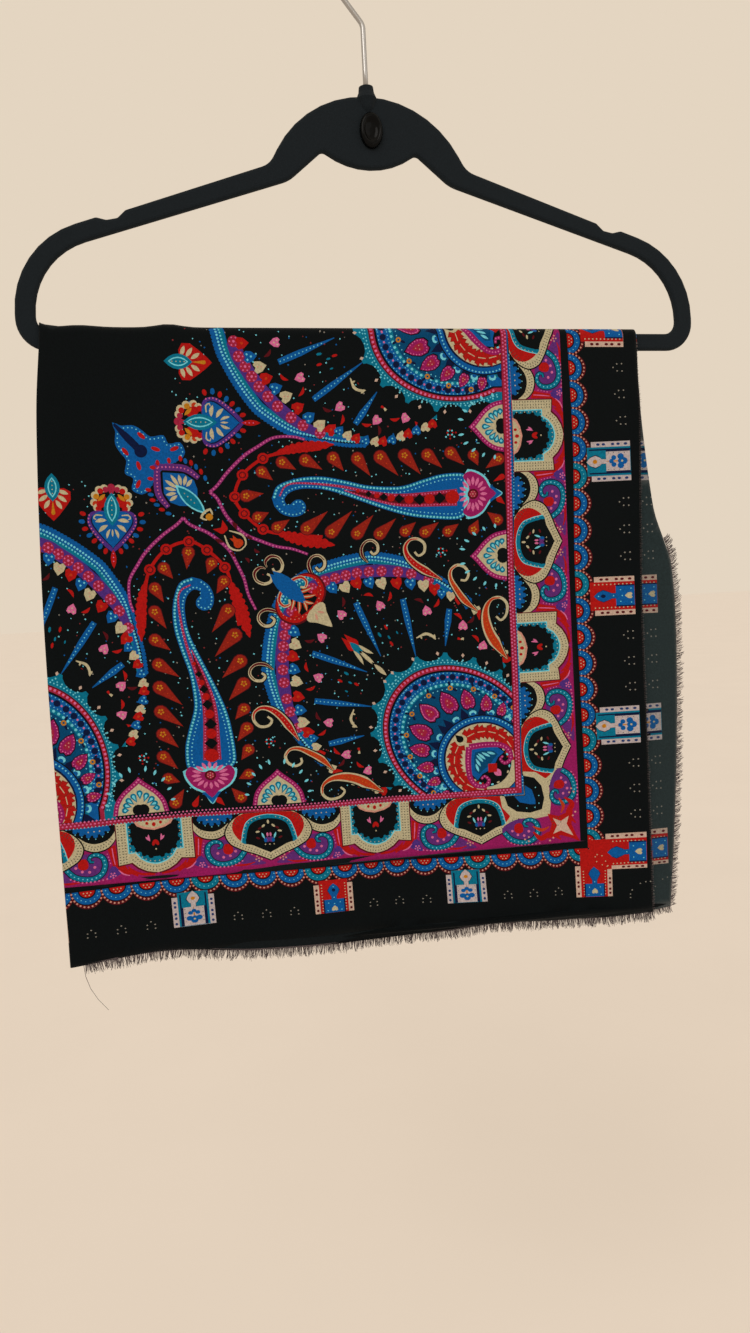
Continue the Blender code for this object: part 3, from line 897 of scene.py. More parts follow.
def turned(points, at, turn=0.0, flip=False):
    points = np.array(points, float)
    if flip:
        points = points * (1, -1)
    c, s = math.cos(turn), math.sin(turn)
    return np.array(at, float) + points @ np.array(((c, s), (-s, c)))


def placed(shapes, at, turn=0.0, flip=False):
    return [Shape(shape.ink, turned(shape.points, at, turn, flip)) for shape in shapes]


def mirrored(shape):
    """The shape's mirror image across its own axis."""
    return shape._replace(points=shape.points * (1, -1))


def doubled(shapes):
    made = []
    for shape in shapes:
        made += [shape, mirrored(shape)]
    return made


def heart(ink, at, size, turn, dotted=""):
    """A heart whose tip points along turn."""
    outline = (
        (0.6, 0), (0.15, 0.42), (-0.3, 0.5), (-0.5, 0.25), (-0.34, 0), (-0.5, -0.25), (-0.3, -0.5),
        (0.15, -0.42),
    )
    made = [Shape(ink, turned(np.array(outline) * size, at, turn))]
    if dotted:
        for x, y in ((-0.22, 0.22), (-0.22, -0.22), (0.1, 0.0)):
            made.append(oval(dotted, turned([(x * size, y * size)], at, turn)[0], size * 0.1, sides=4))
    return made


def pointing(angle):
    return np.array((math.cos(angle), math.sin(angle)))


def towards(at, goal):
    return math.atan2(goal[1] - at[1], goal[0] - at[0])


def flower(at, radius, petals, middle, count=6):
    made = [oval(petals, at, radius)] + dots(middle, radius * 0.17, *around(at, radius * 0.72, count))
    made.append(oval(middle, at, radius * 0.25, sides=5))
    return made


# The fan: a scalloped shell with rays and a beaded ring. Its own middle is the shell's, its axis runs towards
# the middle of the square as falling x, and only one half is drawn.
SHELL_LONG, SHELL_WIDE = 62.0, 51.0
FAN_START, FAN_END = -4.0, 118.0
SHELL_STEP = 3.0


def shell_line(inset, start=FAN_START, end=FAN_END):
    angles = np.radians(np.linspace(start, end, round((end - start) * 0.9 / SHELL_STEP) + 1))
    long, wide = SHELL_LONG - inset, SHELL_WIDE - 0.78 * inset
    return np.stack([-long * np.cos(angles), wide * np.sin(angles)], axis=1)


def shell_disc(ink, inset):
    """Everything within one line of the shell."""
    line = shell_line(inset)
    return Shape(ink, np.concatenate([line, [(line[-1][0] + 30, line[-1][1]), (45.0, 0.0), (20.0, -4.0)]]))


RING_OUTER = (
    (-158, 2), (-154, 17), (-149, 27), (-143, 37), (-135, 48), (-128, 55), (-110, 66), (-95, 70), (-75, 74),
    (-60, 75),
)
RING_ROSETTES = (
    (-144, 10), (-141, 19), (-137, 25), (-133, 31), (-128.5, 37), (-123, 43), (-117, 49), (-108.5, 56),
    (-101, 61), (-90, 66),
)
RING_HEARTS = (
    (-139, 11), (-134, 19), (-128, 25), (-124, 32), (-118, 38),
    (-111.5, 43), (-104, 50), (-97, 56), (-90, 61), (-83, 64),
    (-77.5, 65), (-72, 68), (-66.5, 70), (-60.5, 71.5), (-54, 72.5),
    (-49, 72.5), (-43, 71.5), (-37, 69.5), (-32.5, 68), (-27, 66),
    (-21, 64), (-16.5, 62),
)
HEART_INKS = ("red", "blue", "cream")
RAYS = (((-116, 22), (-80, 7)), ((-94, 45), (-62, 22.5)), ((-67, 61), (-52.5, 41)))
PINK_HEARTS = ((-118, 10), (-102.5, 31.5), (-77, 50), (-53, 59), (-34, 58))
RED_LEAVES = (
    (-123, 16.5), (-112.5, 31), (-102, 40), (-85, 51), (-76, 58), (-59.5, 61), (-52, 65.5), (-41, 58),
    (-28, 60),
)
TULIPS = (
    (-30.5, 0, 1.0), (-25.5, 13.7, 1.05), (-17.3, 23.8, 0.9), (-6, 30.5, 0.76), (5, 34.5, 0.62),
    (17.5, 37.0, 0.6),
)
RING_DOTS = ((-38, 8.5), (-31, 22), (-19, 31.8), (-5, 37.8), (10, 40.5))
SMALL_BITS = (
    ("teal", -90, 17, 1.3), ("teal", -84, 20, 1.0), ("teal", -82, 26, 0.8), ("red", -80, 18, 1.3),
    ("red", -90, 23.5, 1.3), ("cream", -72, 10, 0.9), ("cream", -71.5, 15, 0.8), ("cream", -67, 18, 0.8),
    ("cream", -68, 34.5, 0.9), ("cream", -62, 41, 0.9),
)


def fan_ring():
    outer = smooth(RING_OUTER)
    made = beads("blue", outer, 2.4, 1.5, 6)
    made += [
        ribbon("blue", beside(outer, -3.8), (7.8, 7.8, 6.5, 4.0, 2.5), curved=False),
        ribbon("teal", beside(outer, -5.4), (3.2, 3.2, 2.4, 1.5, 0.8), curved=False),
        *beads("turquoise", beside(outer, -2.4), 2.1, 0.8),
        *beads("turquoise", beside(outer, -4.6)[: len(outer) * 4 // 5], 2.1, 0.7, start=0.0),
    ]
    rosettes = smooth(RING_ROSETTES)
    made.append(ribbon("violet", beside(rosettes, 0.3), (8.6, 8.6, 8.0, 5.0), curved=False))
    for at in RING_ROSETTES:
        made += flower(at, 3.6, "raspberry", "pink")
    for i, (x, y) in enumerate(RING_HEARTS):
        ink = HEART_INKS[i % 3]
        size = 7.6 if x < -80 else 6.2
        made += heart(ink, (x, y), size, towards((x, y), (-20, 0)), "turquoise" if ink == "blue" else "")
        if ink == "cream":
            made += [oval("shell", (x + away, y), 0.6) for away in (-1.2, 1.2)]
        if ink == "red":
            made.append(oval("orange", (x, y), 1.0, sides=5))
    made.append(drop("teal", (-12, 57), (-17, 59), 3.0))
    made.append(ribbon("blue", ((-7, 58), (-3, 56.5), (-1, 53)), (0.6, 1.8, 0.6)))
    return made


def fan_rays():
    made = []
    for start, end in RAYS:
        made.append(ribbon("blue", (start, end), (3.6, 4.4, 2.4, 0.5), 9.0))
        line = np.array((start, end), float)
        made += beads("turquoise", np.stack([line[0], line[0] + (line[1] - line[0]) * 0.8]), 2.6, 0.5)
    for at in PINK_HEARTS:
        made += heart("pink", at, 6.2, towards(at, (0, 0)) + math.pi, "cream")
    for i, (x, y) in enumerate(RED_LEAVES):
        angle = towards((x, y), (0, 0)) + (0.9 if i % 2 else -0.7)
        step = 3.4 * pointing(angle)
        made.append(leaf("red" if i % 3 else "wine", (x, y) - step, (x, y) + step, 2.1, 1.1))
    for ink, x, y, radius in SMALL_BITS:
        made.append(oval(ink, (x, y), radius * 1.5, radius * 0.7, towards((x, y), (0, 0)), sides=6))
    made.append(ribbon("cream", ((-70, 32), (-67, 38.5), (-61, 40), (-58.5, 36)), (0.7, 1.9, 1.6, 0.6), 1.4))
    made.append(oval("red", (-64, 35), 1.2))
    for k, petal in enumerate(around((-47, 50), 3.4, 5, 0.4)):
        made.append(leaf("cream" if k % 2 else "red", (-47, 50), petal, 2.2))
    made.append(oval("gold", (-47, 50), 0.8))
    return made


def fan_shell():
    made = [shell_disc("teal", -5.6)]
    for at, turn in spots(shell_line(-8.0, 4, 112), 19.0):
        made.append(oval("black", at, 9.5, 7.6, turn, 14))
    for at, turn in spots(shell_line(-5.0, 4, 112), 18.0, 0.0):
        out = np.array(at) / np.linalg.norm(at)
        side = np.array((-out[1], out[0]))
        made.append(patch("pale", (at + side * 1.1, at + out * 1.4, at - side * 1.1, at - out * 1.6)))
        made.append(oval("turquoise", at - out * 3.4, 0.7))
    made += [
        *beads("turquoise", shell_line(0.2), 3.2, 0.6),
        *beads("turquoise", shell_line(1.9), 2.3, 0.6),
        shell_disc("raspberry", 4.0),
        ribbon("wine", shell_line(4.3), (0.8, 0.8), curved=False),
        *beads("pink", shell_line(5.9), 2.9, 0.95, 6),
        *beads("red", shell_line(5.9), 2.9, 0.8, 5, 0.0),
        shell_disc("black", 7.8),
        shell_disc("blue", 9.2),
        *beads("navy", shell_line(13.0), 6.6, 2.2, 8),
        *beads("pink", shell_line(13.0), 6.6, 0.75, 5, 0.0),
        *beads("turquoise", shell_line(10.0), 2.6, 0.45),
        *beads("turquoise", shell_line(16.2), 2.4, 0.45),
        shell_disc("teal", 17.4),
        *beads("turquoise", shell_line(18.6), 3.6, 1.0),
        shell_disc("deep", 20.2),
        *beads("turquoise", shell_line(22.2, 2, 100), 3.2, 0.5),
    ]
    for k in range(9):
        angle = math.radians(176 - 21 * k)
        ray = pointing(angle)
        made.append(drop("navy", (20 + 33.5 * ray[0], 32.5 * ray[1]), (20 + 40 * ray[0], 39 * ray[1]), 5.6))
        ray = pointing(angle - 0.18)
        turn = angle - 0.18 + math.pi / 2
        made.append(oval("turquoise", (20 + 34.5 * ray[0], 33.5 * ray[1]), 2.6, 1.9, turn, 8))
        made.append(oval("blue", (20 + 33.4 * ray[0], 32.4 * ray[1]), 1.7, 1.5, turn, 6))
    for x, y, size in TULIPS:
        made += tulip((x, y), towards((x, y), (24, 0)), size)
    for at in RING_DOTS:
        for away in ((3.0, 1.2), (-2.6, 1.8)):
            made.append(oval("navy", np.array(at) + away, 1.9, 0.9, math.atan2(away[1], away[0]), 6))
        made.append(oval("gold", at, 1.8))
        made.append(oval("deep", at, 0.8))
    made += fan_eye()
    return made


def tulip(at, turn, size):
    """A dotted flower that is pointed outwards and broad towards turn."""
    outline = (
        (-8, 0), (-4, 3.4), (1, 5.2), (5.5, 4.4), (7.5, 2), (6.4, 0), (7.5, -2), (5.5, -4.4), (1, -5.2),
        (-4, -3.4),
    )
    petal = np.array(outline) * size
    made = [Shape("black", turned(petal * 1.13, at, turn)), Shape("magenta", turned(petal, at, turn))]
    made += beads("pink", turned(smooth(petal * 0.84, closed=True), at, turn), 2.0, 0.5, 5)
    heart_line = ((-4, 0), (-1, 2.2), (3, 2.9), (5, 1.4), (4.2, 0), (5, -1.4), (3, -2.9), (-1, -2.2))
    made.append(Shape("raspberry", turned(np.array(heart_line) * size * 0.9, at, turn)))
    for x, y in ((-1, 0), (1.4, 1.2), (1.4, -1.2)):
        made.append(oval("shell", turned([(x * size, y * size)], at, turn)[0], 0.5))
    return made


def fan_eye():
    """The shell's round eye: a dotted ring, a cream crescent with red feathers, and a dotted heart scroll."""
    at = np.array((20.0, 0.0))
    made = [oval("black", at, 32.6, 31.6, sides=44), oval("blue", at, 31.8, 30.8, sides=44)]
    angles = np.radians(np.arange(70, 271, 4.6))
    for angle in angles:
        if math.sin(angle) > -0.1:
            made.append(oval("turquoise", at + 29.7 * pointing(angle), 0.65))
    made += [
        oval("navy", at, 27.8, 26.8, sides=40),
        oval("cream", at + (0.4, 0), 26.8, 25.8, sides=40),
        oval("teal", at + (5.0, 0), 15.6, 16.4, sides=30),
        oval("black", at + (6.0, 0), 14.6, 15.4, sides=30),
        drop("black", at - (22.0, 0), at - (26.5, 0), 5.0),
    ]
    for k in range(6):
        angle = math.radians(161 - k * 21)
        spot = at + (0.8, 0) + 20.6 * pointing(angle)
        made += feather(spot, angle - math.pi / 2)
    for angle in range(20, 190, 17):
        spot = at + (5, 0) + 14.6 * pointing(math.radians(angle))
        made.append(oval("turquoise" if angle % 2 else "cream", spot, 1.1, 0.7, math.radians(angle + 90), 6))
    return made + heart_scroll()


def feather(at, turn):
    side = ((-2.6, 0.6), (-4.2, 3.2), (-1.2, 5.2), (-0.6, 3.2), (1.6, 4.6), (2.2, 2.6), (4.0, 2.4), (4.6, 0))
    outline = np.array(side + tuple((x, -y) for x, y in side[-2::-1]))
    made = [Shape("ember", turned(outline * 1.12, at, turn)), Shape("red", turned(outline * 0.94, at, turn))]
    made.append(Shape("cream", turned(((-2.2, 0.3), (3.0, 0.25), (3.0, -0.25), (-2.2, -0.3)), at, turn)))
    return made


def half_fan():
    return fan_ring() + fan_rays() + fan_shell()


HEART_LINE = (
    (6.4, 0), (13.4, 8.5), (21.9, 15.6), (29.3, 16.6), (33.9, 12.7), (32.9, 8.1), (28.6, 8.1), (28.4, 11.2),
)


def heart_scroll():
    """Half of the dotted heart in the shell's eye."""
    made = [
        patch("blue", ((7, 0), (13, 6.5), (21, 13.0), (27, 13.5), (26.5, 8), (29, 0))),
        ribbon("magenta", HEART_LINE, (4.4, 4.2, 4.0, 3.6, 3.4, 2.6, 1.6)),
        *beads("pink", smooth(HEART_LINE), 2.1, 0.65),
        patch("deep", ((12, 0), (15, 4.2), (21, 9.6), (25, 9.5), (25, 5), (26, 0))),
    ]
    for start, end in (((14, 0.8), (21, 1.2)), ((15.5, 3), (22, 4.8)), ((18, 5.6), (23.5, 8.4))):
        made.append(leaf("turquoise", start, end, 1.7))
    made.append(leaf("pink", (30, 0), (37, 0), 5.0))
    made.append(patch("red", ((24.5, 0), (28.8, 4.4), (33, 0))))
    return made


# The long paisley. Its blue body lies level, its curled head towards the middle of the square.
BODY_TOP = (
    (158, 107), (162, 99), (175, 94.5), (190, 94), (205, 97), (220, 101), (235, 102.5), (245, 102), (258, 98),
    (270, 95), (283, 95), (286, 99),
)
BODY_BOTTOM = (
    (286, 121), (282, 125), (275, 126), (258, 124.5), (245, 122), (230, 117), (215, 111), (200, 105),
    (190, 102.3), (178, 101.5), (170, 103.5), (166, 108), (167.5, 112),
)
BODY_HOOK = (
    (170, 111.5), (173, 108.8), (177.5, 109.2), (179.8, 113.5), (177.5, 118.3), (171, 119.8), (164, 117.5),
    (159.5, 112.5),
)
SEEDS = (
    ((152, 90), (159, 95.5)), ((165, 84), (174, 89)), ((180, 83), (191, 89.5)), ((198, 82), (205, 91)),
    ((214, 83), (222.5, 95)), ((229, 82.5), (241, 95.5)), ((245, 82), (255.5, 95)), ((260, 82), (269.5, 91)),
    ((275, 81), (284, 89.5)), ((290, 83), (293, 90)), ((307, 86), (298, 92)), ((142, 105.5), (153, 104)),
    ((149, 119.5), (156, 116.5)), ((161, 126.5), (169, 121.5)), ((180, 128), (194, 117)),
    ((196, 131), (210, 117.5)), ((213, 133), (224, 121)), ((228, 134), (239, 124)), ((245, 133), (252, 127)),
    ((258, 134), (267, 127.5)), ((273, 134), (280, 129)), ((290, 133), (293, 126.5)),
    ((306, 127), (299, 121.5)),
)
MEDALLIONS = ((135, 106), (140, 92), (153, 81.5), (140.5, 117), (152, 127.5))
ARCH_UP = ((119.5, 103), (124, 99), (131, 90), (141, 80), (150, 74), (160, 68.5), (172, 68), (180, 70))
ARCH_DOWN = ((119.5, 103), (124, 107), (130, 119), (140, 130), (150, 135), (160, 139), (170, 141), (180, 145))


def long_paisley():
    made = []
    for line in (ARCH_UP, ARCH_DOWN):
        made.append(ribbon("plum", line, (2.0, 2.2, 2.0, 1.6)))
        made += beads("pink", smooth(line), 2.2, 0.6)
    red_line = (
        (190, 76), (167, 78), (153, 81.5), (140, 92), (135, 106), (140.5, 117), (152, 127.5), (165, 131),
        (190, 134),
    )
    made += [
        ribbon("red", red_line, (2.0, 2.0)),
        feather_end(((158, 79.5), (168, 76.5), (180, 74.5), (199, 73.5)), 7.5),
        feather_end(((158, 128.5), (168, 132.5), (180, 136), (198, 140)), 9.0),
    ]
    for at in MEDALLIONS:
        made += [
            oval("red", at, 3.6),
            oval("wine", at, 2.3),
            *flower(at, 1.6, "red", "orange", 4),
        ]
    for head, tail in SEEDS:
        size = 6.2 + 0.12 * math.dist(head, tail)
        made.append(drop("wine", head, tail, size + 1.0))
        made.append(drop("ember", head, tail, size))
        for t in (0.35, 0.55, 0.72):
            spot = (mix(head[0], tail[0], t), mix(head[1], tail[1], t))
            made.append(oval("orange", spot, 0.55 * (1.2 - t)))
        made += [oval("gold", at, 0.8, sides=4) for at in around(head, 1.4, 5)]
        made.append(oval("orange", head, 0.5))
    for head, tail in (((309, 98), (303, 101)), ((307, 113), (311, 116.5))):
        made.append(drop("red", head, tail, 4.0))
    outline = np.concatenate([smooth(BODY_TOP), smooth(BODY_BOTTOM), smooth(BODY_HOOK)])
    made.append(Shape("blue", outline))
    ridge, keel = smooth(BODY_TOP), smooth(BODY_BOTTOM[:9])
    made += [
        ribbon("teal", beside(ridge, 1.3), (1.6, 1.6), curved=False),
        ribbon("teal", beside(keel, 1.3), (1.6, 1.6), curved=False),
        *beads("turquoise", beside(ridge, 1.3), 2.2, 0.8),
        *beads("turquoise", beside(keel, 1.3), 2.2, 0.8),
        *beads("turquoise", beside(ridge[14:], 4.0), 2.6, 0.55, 4),
        *beads("turquoise", beside(keel[:-6], 3.8), 2.6, 0.55, 4),
        *beads("turquoise", beside(smooth(BODY_BOTTOM[8:]), 1.4), 2.2, 0.6),
        *beads("turquoise", beside(smooth(BODY_HOOK), 1.4), 2.4, 0.6),
    ]
    spine_top = smooth(
        ((163, 106), (167, 99.5), (176, 97.8), (200, 100.5), (225, 106.3), (245, 108.7), (279, 106.5))
    )
    spine_bottom = smooth(((205, 103.6), (225, 111), (245, 115.3), (279, 115.5)))
    made += [
        Shape("wine", np.concatenate([spine_top[30:], spine_bottom[::-1]])),
        ribbon("raspberry", spine_top, (1.0, 1.4, 2.0, 2.4, 2.4), curved=False),
        ribbon("raspberry", spine_bottom, (0.8, 2.0, 2.4), curved=False),
        *beads("pink", spine_top, 2.0, 0.5),
        *beads("pink", spine_bottom, 2.0, 0.5),
    ]
    for x, y, size in (
        (221, 106.8, 2.2), (231, 109.2, 2.8), (241.2, 110.8, 3.4), (254.6, 111.8, 4.0), (267.6, 111.2, 4.2),
    ):
        made.append(patch("black", ((x - size, y), (x, y - size), (x + size, y), (x, y + size))))
    for x, y, radius in (
        (214, 104.5, 1.3), (226.5, 108.2, 1.9), (236, 110.2, 2.4), (247.7, 111.5, 3.0), (261, 111.6, 3.4),
        (276, 110.8, 4.6),
    ):
        made.append(oval("red", (x, y), radius))
    made += [
        blob("turquoise", (
            (284, 95.6), (289, 92.6), (297.5, 97.0), (302, 104), (309.5, 109), (302, 114), (296, 122.2),
            (289, 125.6), (284, 122.6),
        ), 3),
        patch("blue", ((301, 103), (309, 109), (301, 115))),
        blob("magenta", (
            (283, 97), (288, 93.6), (296.5, 98), (300.8, 105), (305, 109), (300.8, 113), (295.5, 121),
            (288, 124.5), (283, 121), (286.5, 115), (287, 109), (286.5, 103),
        ), 3),
    ]
    middle = np.array((289.5, 109))
    for k in range(16):
        angle = math.radians(k * 22.5)
        ray = np.array((math.cos(angle), math.sin(angle) * 1.25))
        made.append(leaf("pink", middle + ray * 4.6, middle + ray * 9.6, 2.1))
    made.append(oval("wine", middle, 3.6))
    made += flower(middle, 2.4, "raspberry", "shell")
    return made


def feather_end(line, width):
    """A red plume with a ragged edge."""
    path = smooth(line, 1.5)
    half = np.interp(
        np.linspace(0, 1, len(path)), (0, 0.3, 0.6, 0.85, 1),
        (0.4, 0.42 * width, 0.5 * width, 0.36 * width, 0.2),
    )
    half = half * np.where(np.arange(len(path)) % 3 == 0, 0.72, 1.0)
    side = normals(path) * half[:, None]
    return Shape("red", np.concatenate([path + side, (path - side)[::-1]]))


def palmette_small():
    """The small palmette, about its own axis: x across the square from its middle."""
    half = [patch(
        "red", ((103, -0.5), (102, 7), (104, 11), (109, 11), (114, 7.5), (119, 3.5), (122.5, 0), (122, -0.5))
    )]
    for start, end in (
        ((103.5, 3.2), (105.6, 9.6)), ((106.5, 2.8), (110.5, 8.6)), ((109.5, 1.8), (115, 5.4)),
    ):
        half.append(leaf("cream", start, end, 2.6))
    made = doubled(half)
    made += [
        drop("gold", (117.5, 0), (110, 0), 2.4),
        leaf("teal", (93, 0), (110.5, 0), 9.4),
        leaf("turquoise", (95.5, 0), (108, 0), 5.6),
        leaf("teal", (96.5, 0), (107, 0), 4.0),
    ]
    made += [oval("cream", (x, 0), 0.45) for x in (98, 100.5, 103, 105.5)]
    return made


def palmette_large():
    """The larger palmette, about its own axis."""
    half = []
    for x, y, ink in (
        (101.5, 4.4, "raspberry"), (102.5, 7.6, "red"), (106, 10.2, "gold"), (110.5, 10.8, "orange"),
        (113.6, 9.0, "red"),
    ):
        half.append(oval("cream", (x, y), 2.5))
        half.append(oval(ink, (x + 0.7, y - 0.8), 1.9))
    half.append(oval("red", (110, 6.2), 4.2, 2.9, 0.5))
    half.append(leaf("gold", (105.0, 3.8), (109.5, 8.4), 2.4))
    purple = ((116, 0), (115.5, 10), (118, 14.8), (124, 15.6), (131, 11.6), (137, 6.5), (142.5, 0))
    half.append(Shape("violet", smooth(np.array(purple) - (0, 0.4), 2.5)))
    half += beads("pink", smooth(purple[2:-1]) + (-0.7, -0.9), 2.2, 0.6)
    fan = ((116.5, 0), (116.5, 8), (119, 12.3), (123.5, 12.6), (129.5, 8.8), (135, 4.3), (139.5, 0))
    half.append(Shape("navy", smooth(np.array(fan) * (1, 1.06) - (-0.2, 0.4), 2.5)))
    half.append(Shape("blue", smooth(np.array(fan) - (0.4, 0.4), 2.5)))
    for start, end, width in (
        ((121.5, 3.4), (122.5, 10.6), 2.6), ((124.5, 2.8), (129.0, 8.6), 2.6), ((127, 1.4), (133, 3.6), 1.8),
    ):
        half.append(leaf("cream", start, end, width, 0.5))
    half.append(ribbon("cream", ((118.5, 6.0), (118.2, 10), (120.4, 11.4), (121, 9.8)), (0.7, 1.0, 0.6)))
    for k, (x, y) in enumerate(
        ((117.5, 18), (122.5, 18.8), (127, 17), (131, 14.4), (134.5, 11.5), (138, 8), (141, 4.8))
    ):
        angle = math.atan2(y, x - 124)
        half.append(oval(("red", "blue")[k % 2], (x, y), 2.0, 1.4, angle))
    made = doubled(half)
    made.append(leaf("red", (140, 0), (152, 0), 3.6))
    made += [oval("pink", (x, 0), 0.5) for x in (142.5, 145, 147.5)]
    made += [
        drop("raspberry", (101.0, 0), (107, 0), 5.0),
        leaf("teal", (104, 0), (125, 0), 10.0),
        leaf("turquoise", (106, 0), (122.5, 0), 6.4),
        leaf("teal", (107, 0), (121.5, 0), 4.6),
    ]
    made += [oval("cream", (x, 0), 0.45) for x in (109, 112, 115, 118)]
    made.append(leaf("cream", (127, 0), (132, 0), 1.2))
    return made


def diagonal_palmette():
    """The winged palmette on the square's diagonal: one half, mirrored by the print's own fold."""
    crown = (
        (61, 61), (64, 61.8), (66.5, 62.8), (74, 62.5), (80, 66), (84, 69), (92, 68), (95, 73), (102, 72),
        (105, 78), (103, 82),
    )
    made = [
        patch("blue", [*smooth(crown, 2.5), (96, 86), (90, 90), (70, 70)]),
        *beads("turquoise", beside(smooth(crown[2:]), 1.5), 2.6, 0.5),
        ribbon("navy", ((62, 62), (70, 69), (77, 77)), (1.5, 3.0, 4.5)),
        oval("navy", (78, 78), 4.0),
    ]
    for x, y, turn in ((78.5, 68.5, 0.7), (87, 76.5, 0.3), (98.5, 76, -0.4)):
        made.append(oval("red", (x, y), 2.9, 1.3, turn))
    band = smooth(((85, 88), (95, 87.5), (105, 88.5), (113, 94)))
    made.append(ribbon("purple", band, (3.4, 4.4, 4.4, 3.0), curved=False))
    made += beads("pink", band, 2.3, 0.6)
    outside = (
        (88, 85), (91.5, 84), (95, 83.5), (98.5, 83), (102, 82), (105, 83.5), (108.5, 84.5), (111.5, 87),
        (114.5, 90), (117, 94),
    )
    for k, at in enumerate(outside):
        made.append(oval(("red", "blue")[k % 2], at, 1.9, 1.2, 1.4))
    made.append(
        patch("blue", ((91, 91), (93, 91), (104, 91.5), (110, 95.5), (112, 101), (112, 112), (91, 91)))
    )
    for turn, near, far in ((236, 4, 13.0), (258, 4, 11.2), (282, 4, 10.6), (306, 4, 10.0)):
        ray = pointing(math.radians(turn))
        made.append(leaf("cream", 103.0 + ray * near, 103.0 + ray * far, 2.3))
    made.append(leaf("turquoise", (98.5, 98.5), (117, 117), 8.6))
    made.append(leaf("teal", (100, 100), (115.5, 115.5), 6.8))
    made += [oval("cream", (x, x), 0.4) for x in (104, 106, 108, 110)]
    made += [
        ribbon("cream", ((116, 116), (119.5, 114), (121, 117.5)), (1.6, 1.6, 0.8)),
        oval("gold", (119, 119), 2.3),
        drop("red", (128, 126.5), (127, 121), 4.2),
        drop("orange", (136, 137), (133, 131), 5.0),
        ribbon("cream", ((131, 128), (139, 131), (141, 137), (137.5, 141)), (0.7, 1.3, 1.1, 0.5)),
    ]
    for x, y in ((142, 131), (124, 133), (133, 122), (146, 140)):
        made.append(leaf("wine", (x, y), (x + 3.5, y + 2.5), 1.9, 0.8))
    return made


def guard_palmette():
    """Half an ogee that stands on the guard stripe, about its own axis. x is the distance from the middle."""
    outline = smooth(((287.5, 0), (291.5, 4.2), (297, 10.5), (303.5, 15.2), (312, 17.2)))
    inside = smooth(((292, 0), (295.5, 4.4), (300, 9.4), (305.5, 12.8), (312, 14.2)))
    half = [
        patch("magenta", [*outline, (312, -0.5), (287.5, -0.5)]),
        *beads("pink", beside(outline, -1.5), 2.1, 0.7),
        patch("cream", [*inside, (312, -0.5), (292, -0.5)]),
    ]
    middle = np.array((309.0, 0))
    for angle, near, far in (
        (0, 6.5, 12.5), (24, 5.0, 11.4), (48, 5.0, 11.2), (70, 5.5, 11.0), (90, 7.0, 11.4),
    ):
        ray = np.array((-math.cos(math.radians(angle)), math.sin(math.radians(angle))))
        half.append(drop("teal", middle + ray * (far - 1.6), middle + ray * near, 3.9))
        half.append(drop("turquoise", middle + ray * (far - 1.8), middle + ray * (near + 1.5), 1.7))
    half.append(oval("black", (309.5, 1.6), 3.8, 3.6))
    for k in range(5):
        angle = math.radians(14 + 17 * k)
        ray = np.array((-math.cos(angle) * 1.3, math.sin(angle)))
        half.append(leaf("turquoise", np.array((308, 0)) + ray * 18.8, np.array((308, 0)) + ray * 22, 1.6))
    return doubled(half)


# Curled leaves from their tail to the end of their head, each with its greatest width and the ink inside it.
COMMAS = (
    ((
        (219.5, 153), (216, 148.5), (215.5, 143), (218.3, 139), (222.5, 138.2), (226, 141), (226.3, 145.5),
        (223.5, 147.6), (221.4, 145.5),
    ), 2.2, "wine"),
    ((
        (268.5, 166.5), (259, 161), (251, 155.5), (246, 149.5), (244.8, 143.5), (248, 139), (253, 138.5),
        (257.3, 142), (257, 147.5), (253.4, 149.8), (250.8, 147.2),
    ), 5.6, "red"),
    ((
        (291, 188), (283, 181), (277.5, 173), (274, 166), (274.3, 160.3), (278.5, 157), (283.5, 158.5),
        (286, 163), (284, 167.2), (280.6, 167),
    ), 4.8, "orange"),
    ((
        (309.5, 221), (303.5, 212), (298.5, 203), (296.3, 194), (297, 186), (301, 180.5), (307, 179.6),
        (311.2, 184), (310.4, 191), (306.6, 194.6), (303.4, 192),
    ), 8.0, "orange"),
    ((
        (153.4, 152.6), (152.6, 149), (156, 145.5), (161, 146.5), (163.4, 151), (162, 155.3), (158.6, 156),
        (157, 153.3),
    ), 2.4, "wine"),
    ((
        (184, 161), (181, 156), (180.2, 151), (182.7, 147), (187, 146.3), (190.6, 149.5), (190.3, 154),
        (187, 156.2), (184.8, 153.9),
    ), 2.2, "wine"),
)


def commas():
    """The curled leaves of the half of the square nearer its right side."""
    made = []
    for line, width, ink in COMMAS:
        made += [
            ribbon("black", line, (1.5, width + 2.0, width * 0.8 + 1.6, 3.6, 3.4, 2.8), 1.3),
            ribbon("cream", line, (0.7, width, width * 0.8, 2.0, 1.9, 1.4), 1.3),
            ribbon(ink, line[: len(line) * 2 // 3], (0.3, width * 0.66, width * 0.6, width * 0.3, 0.5), 1.3),
        ]
        if width > 4:
            made += beads("gold" if ink == "orange" else "shell", smooth(line[:4]), 2.6, 0.35, 4)
    return made


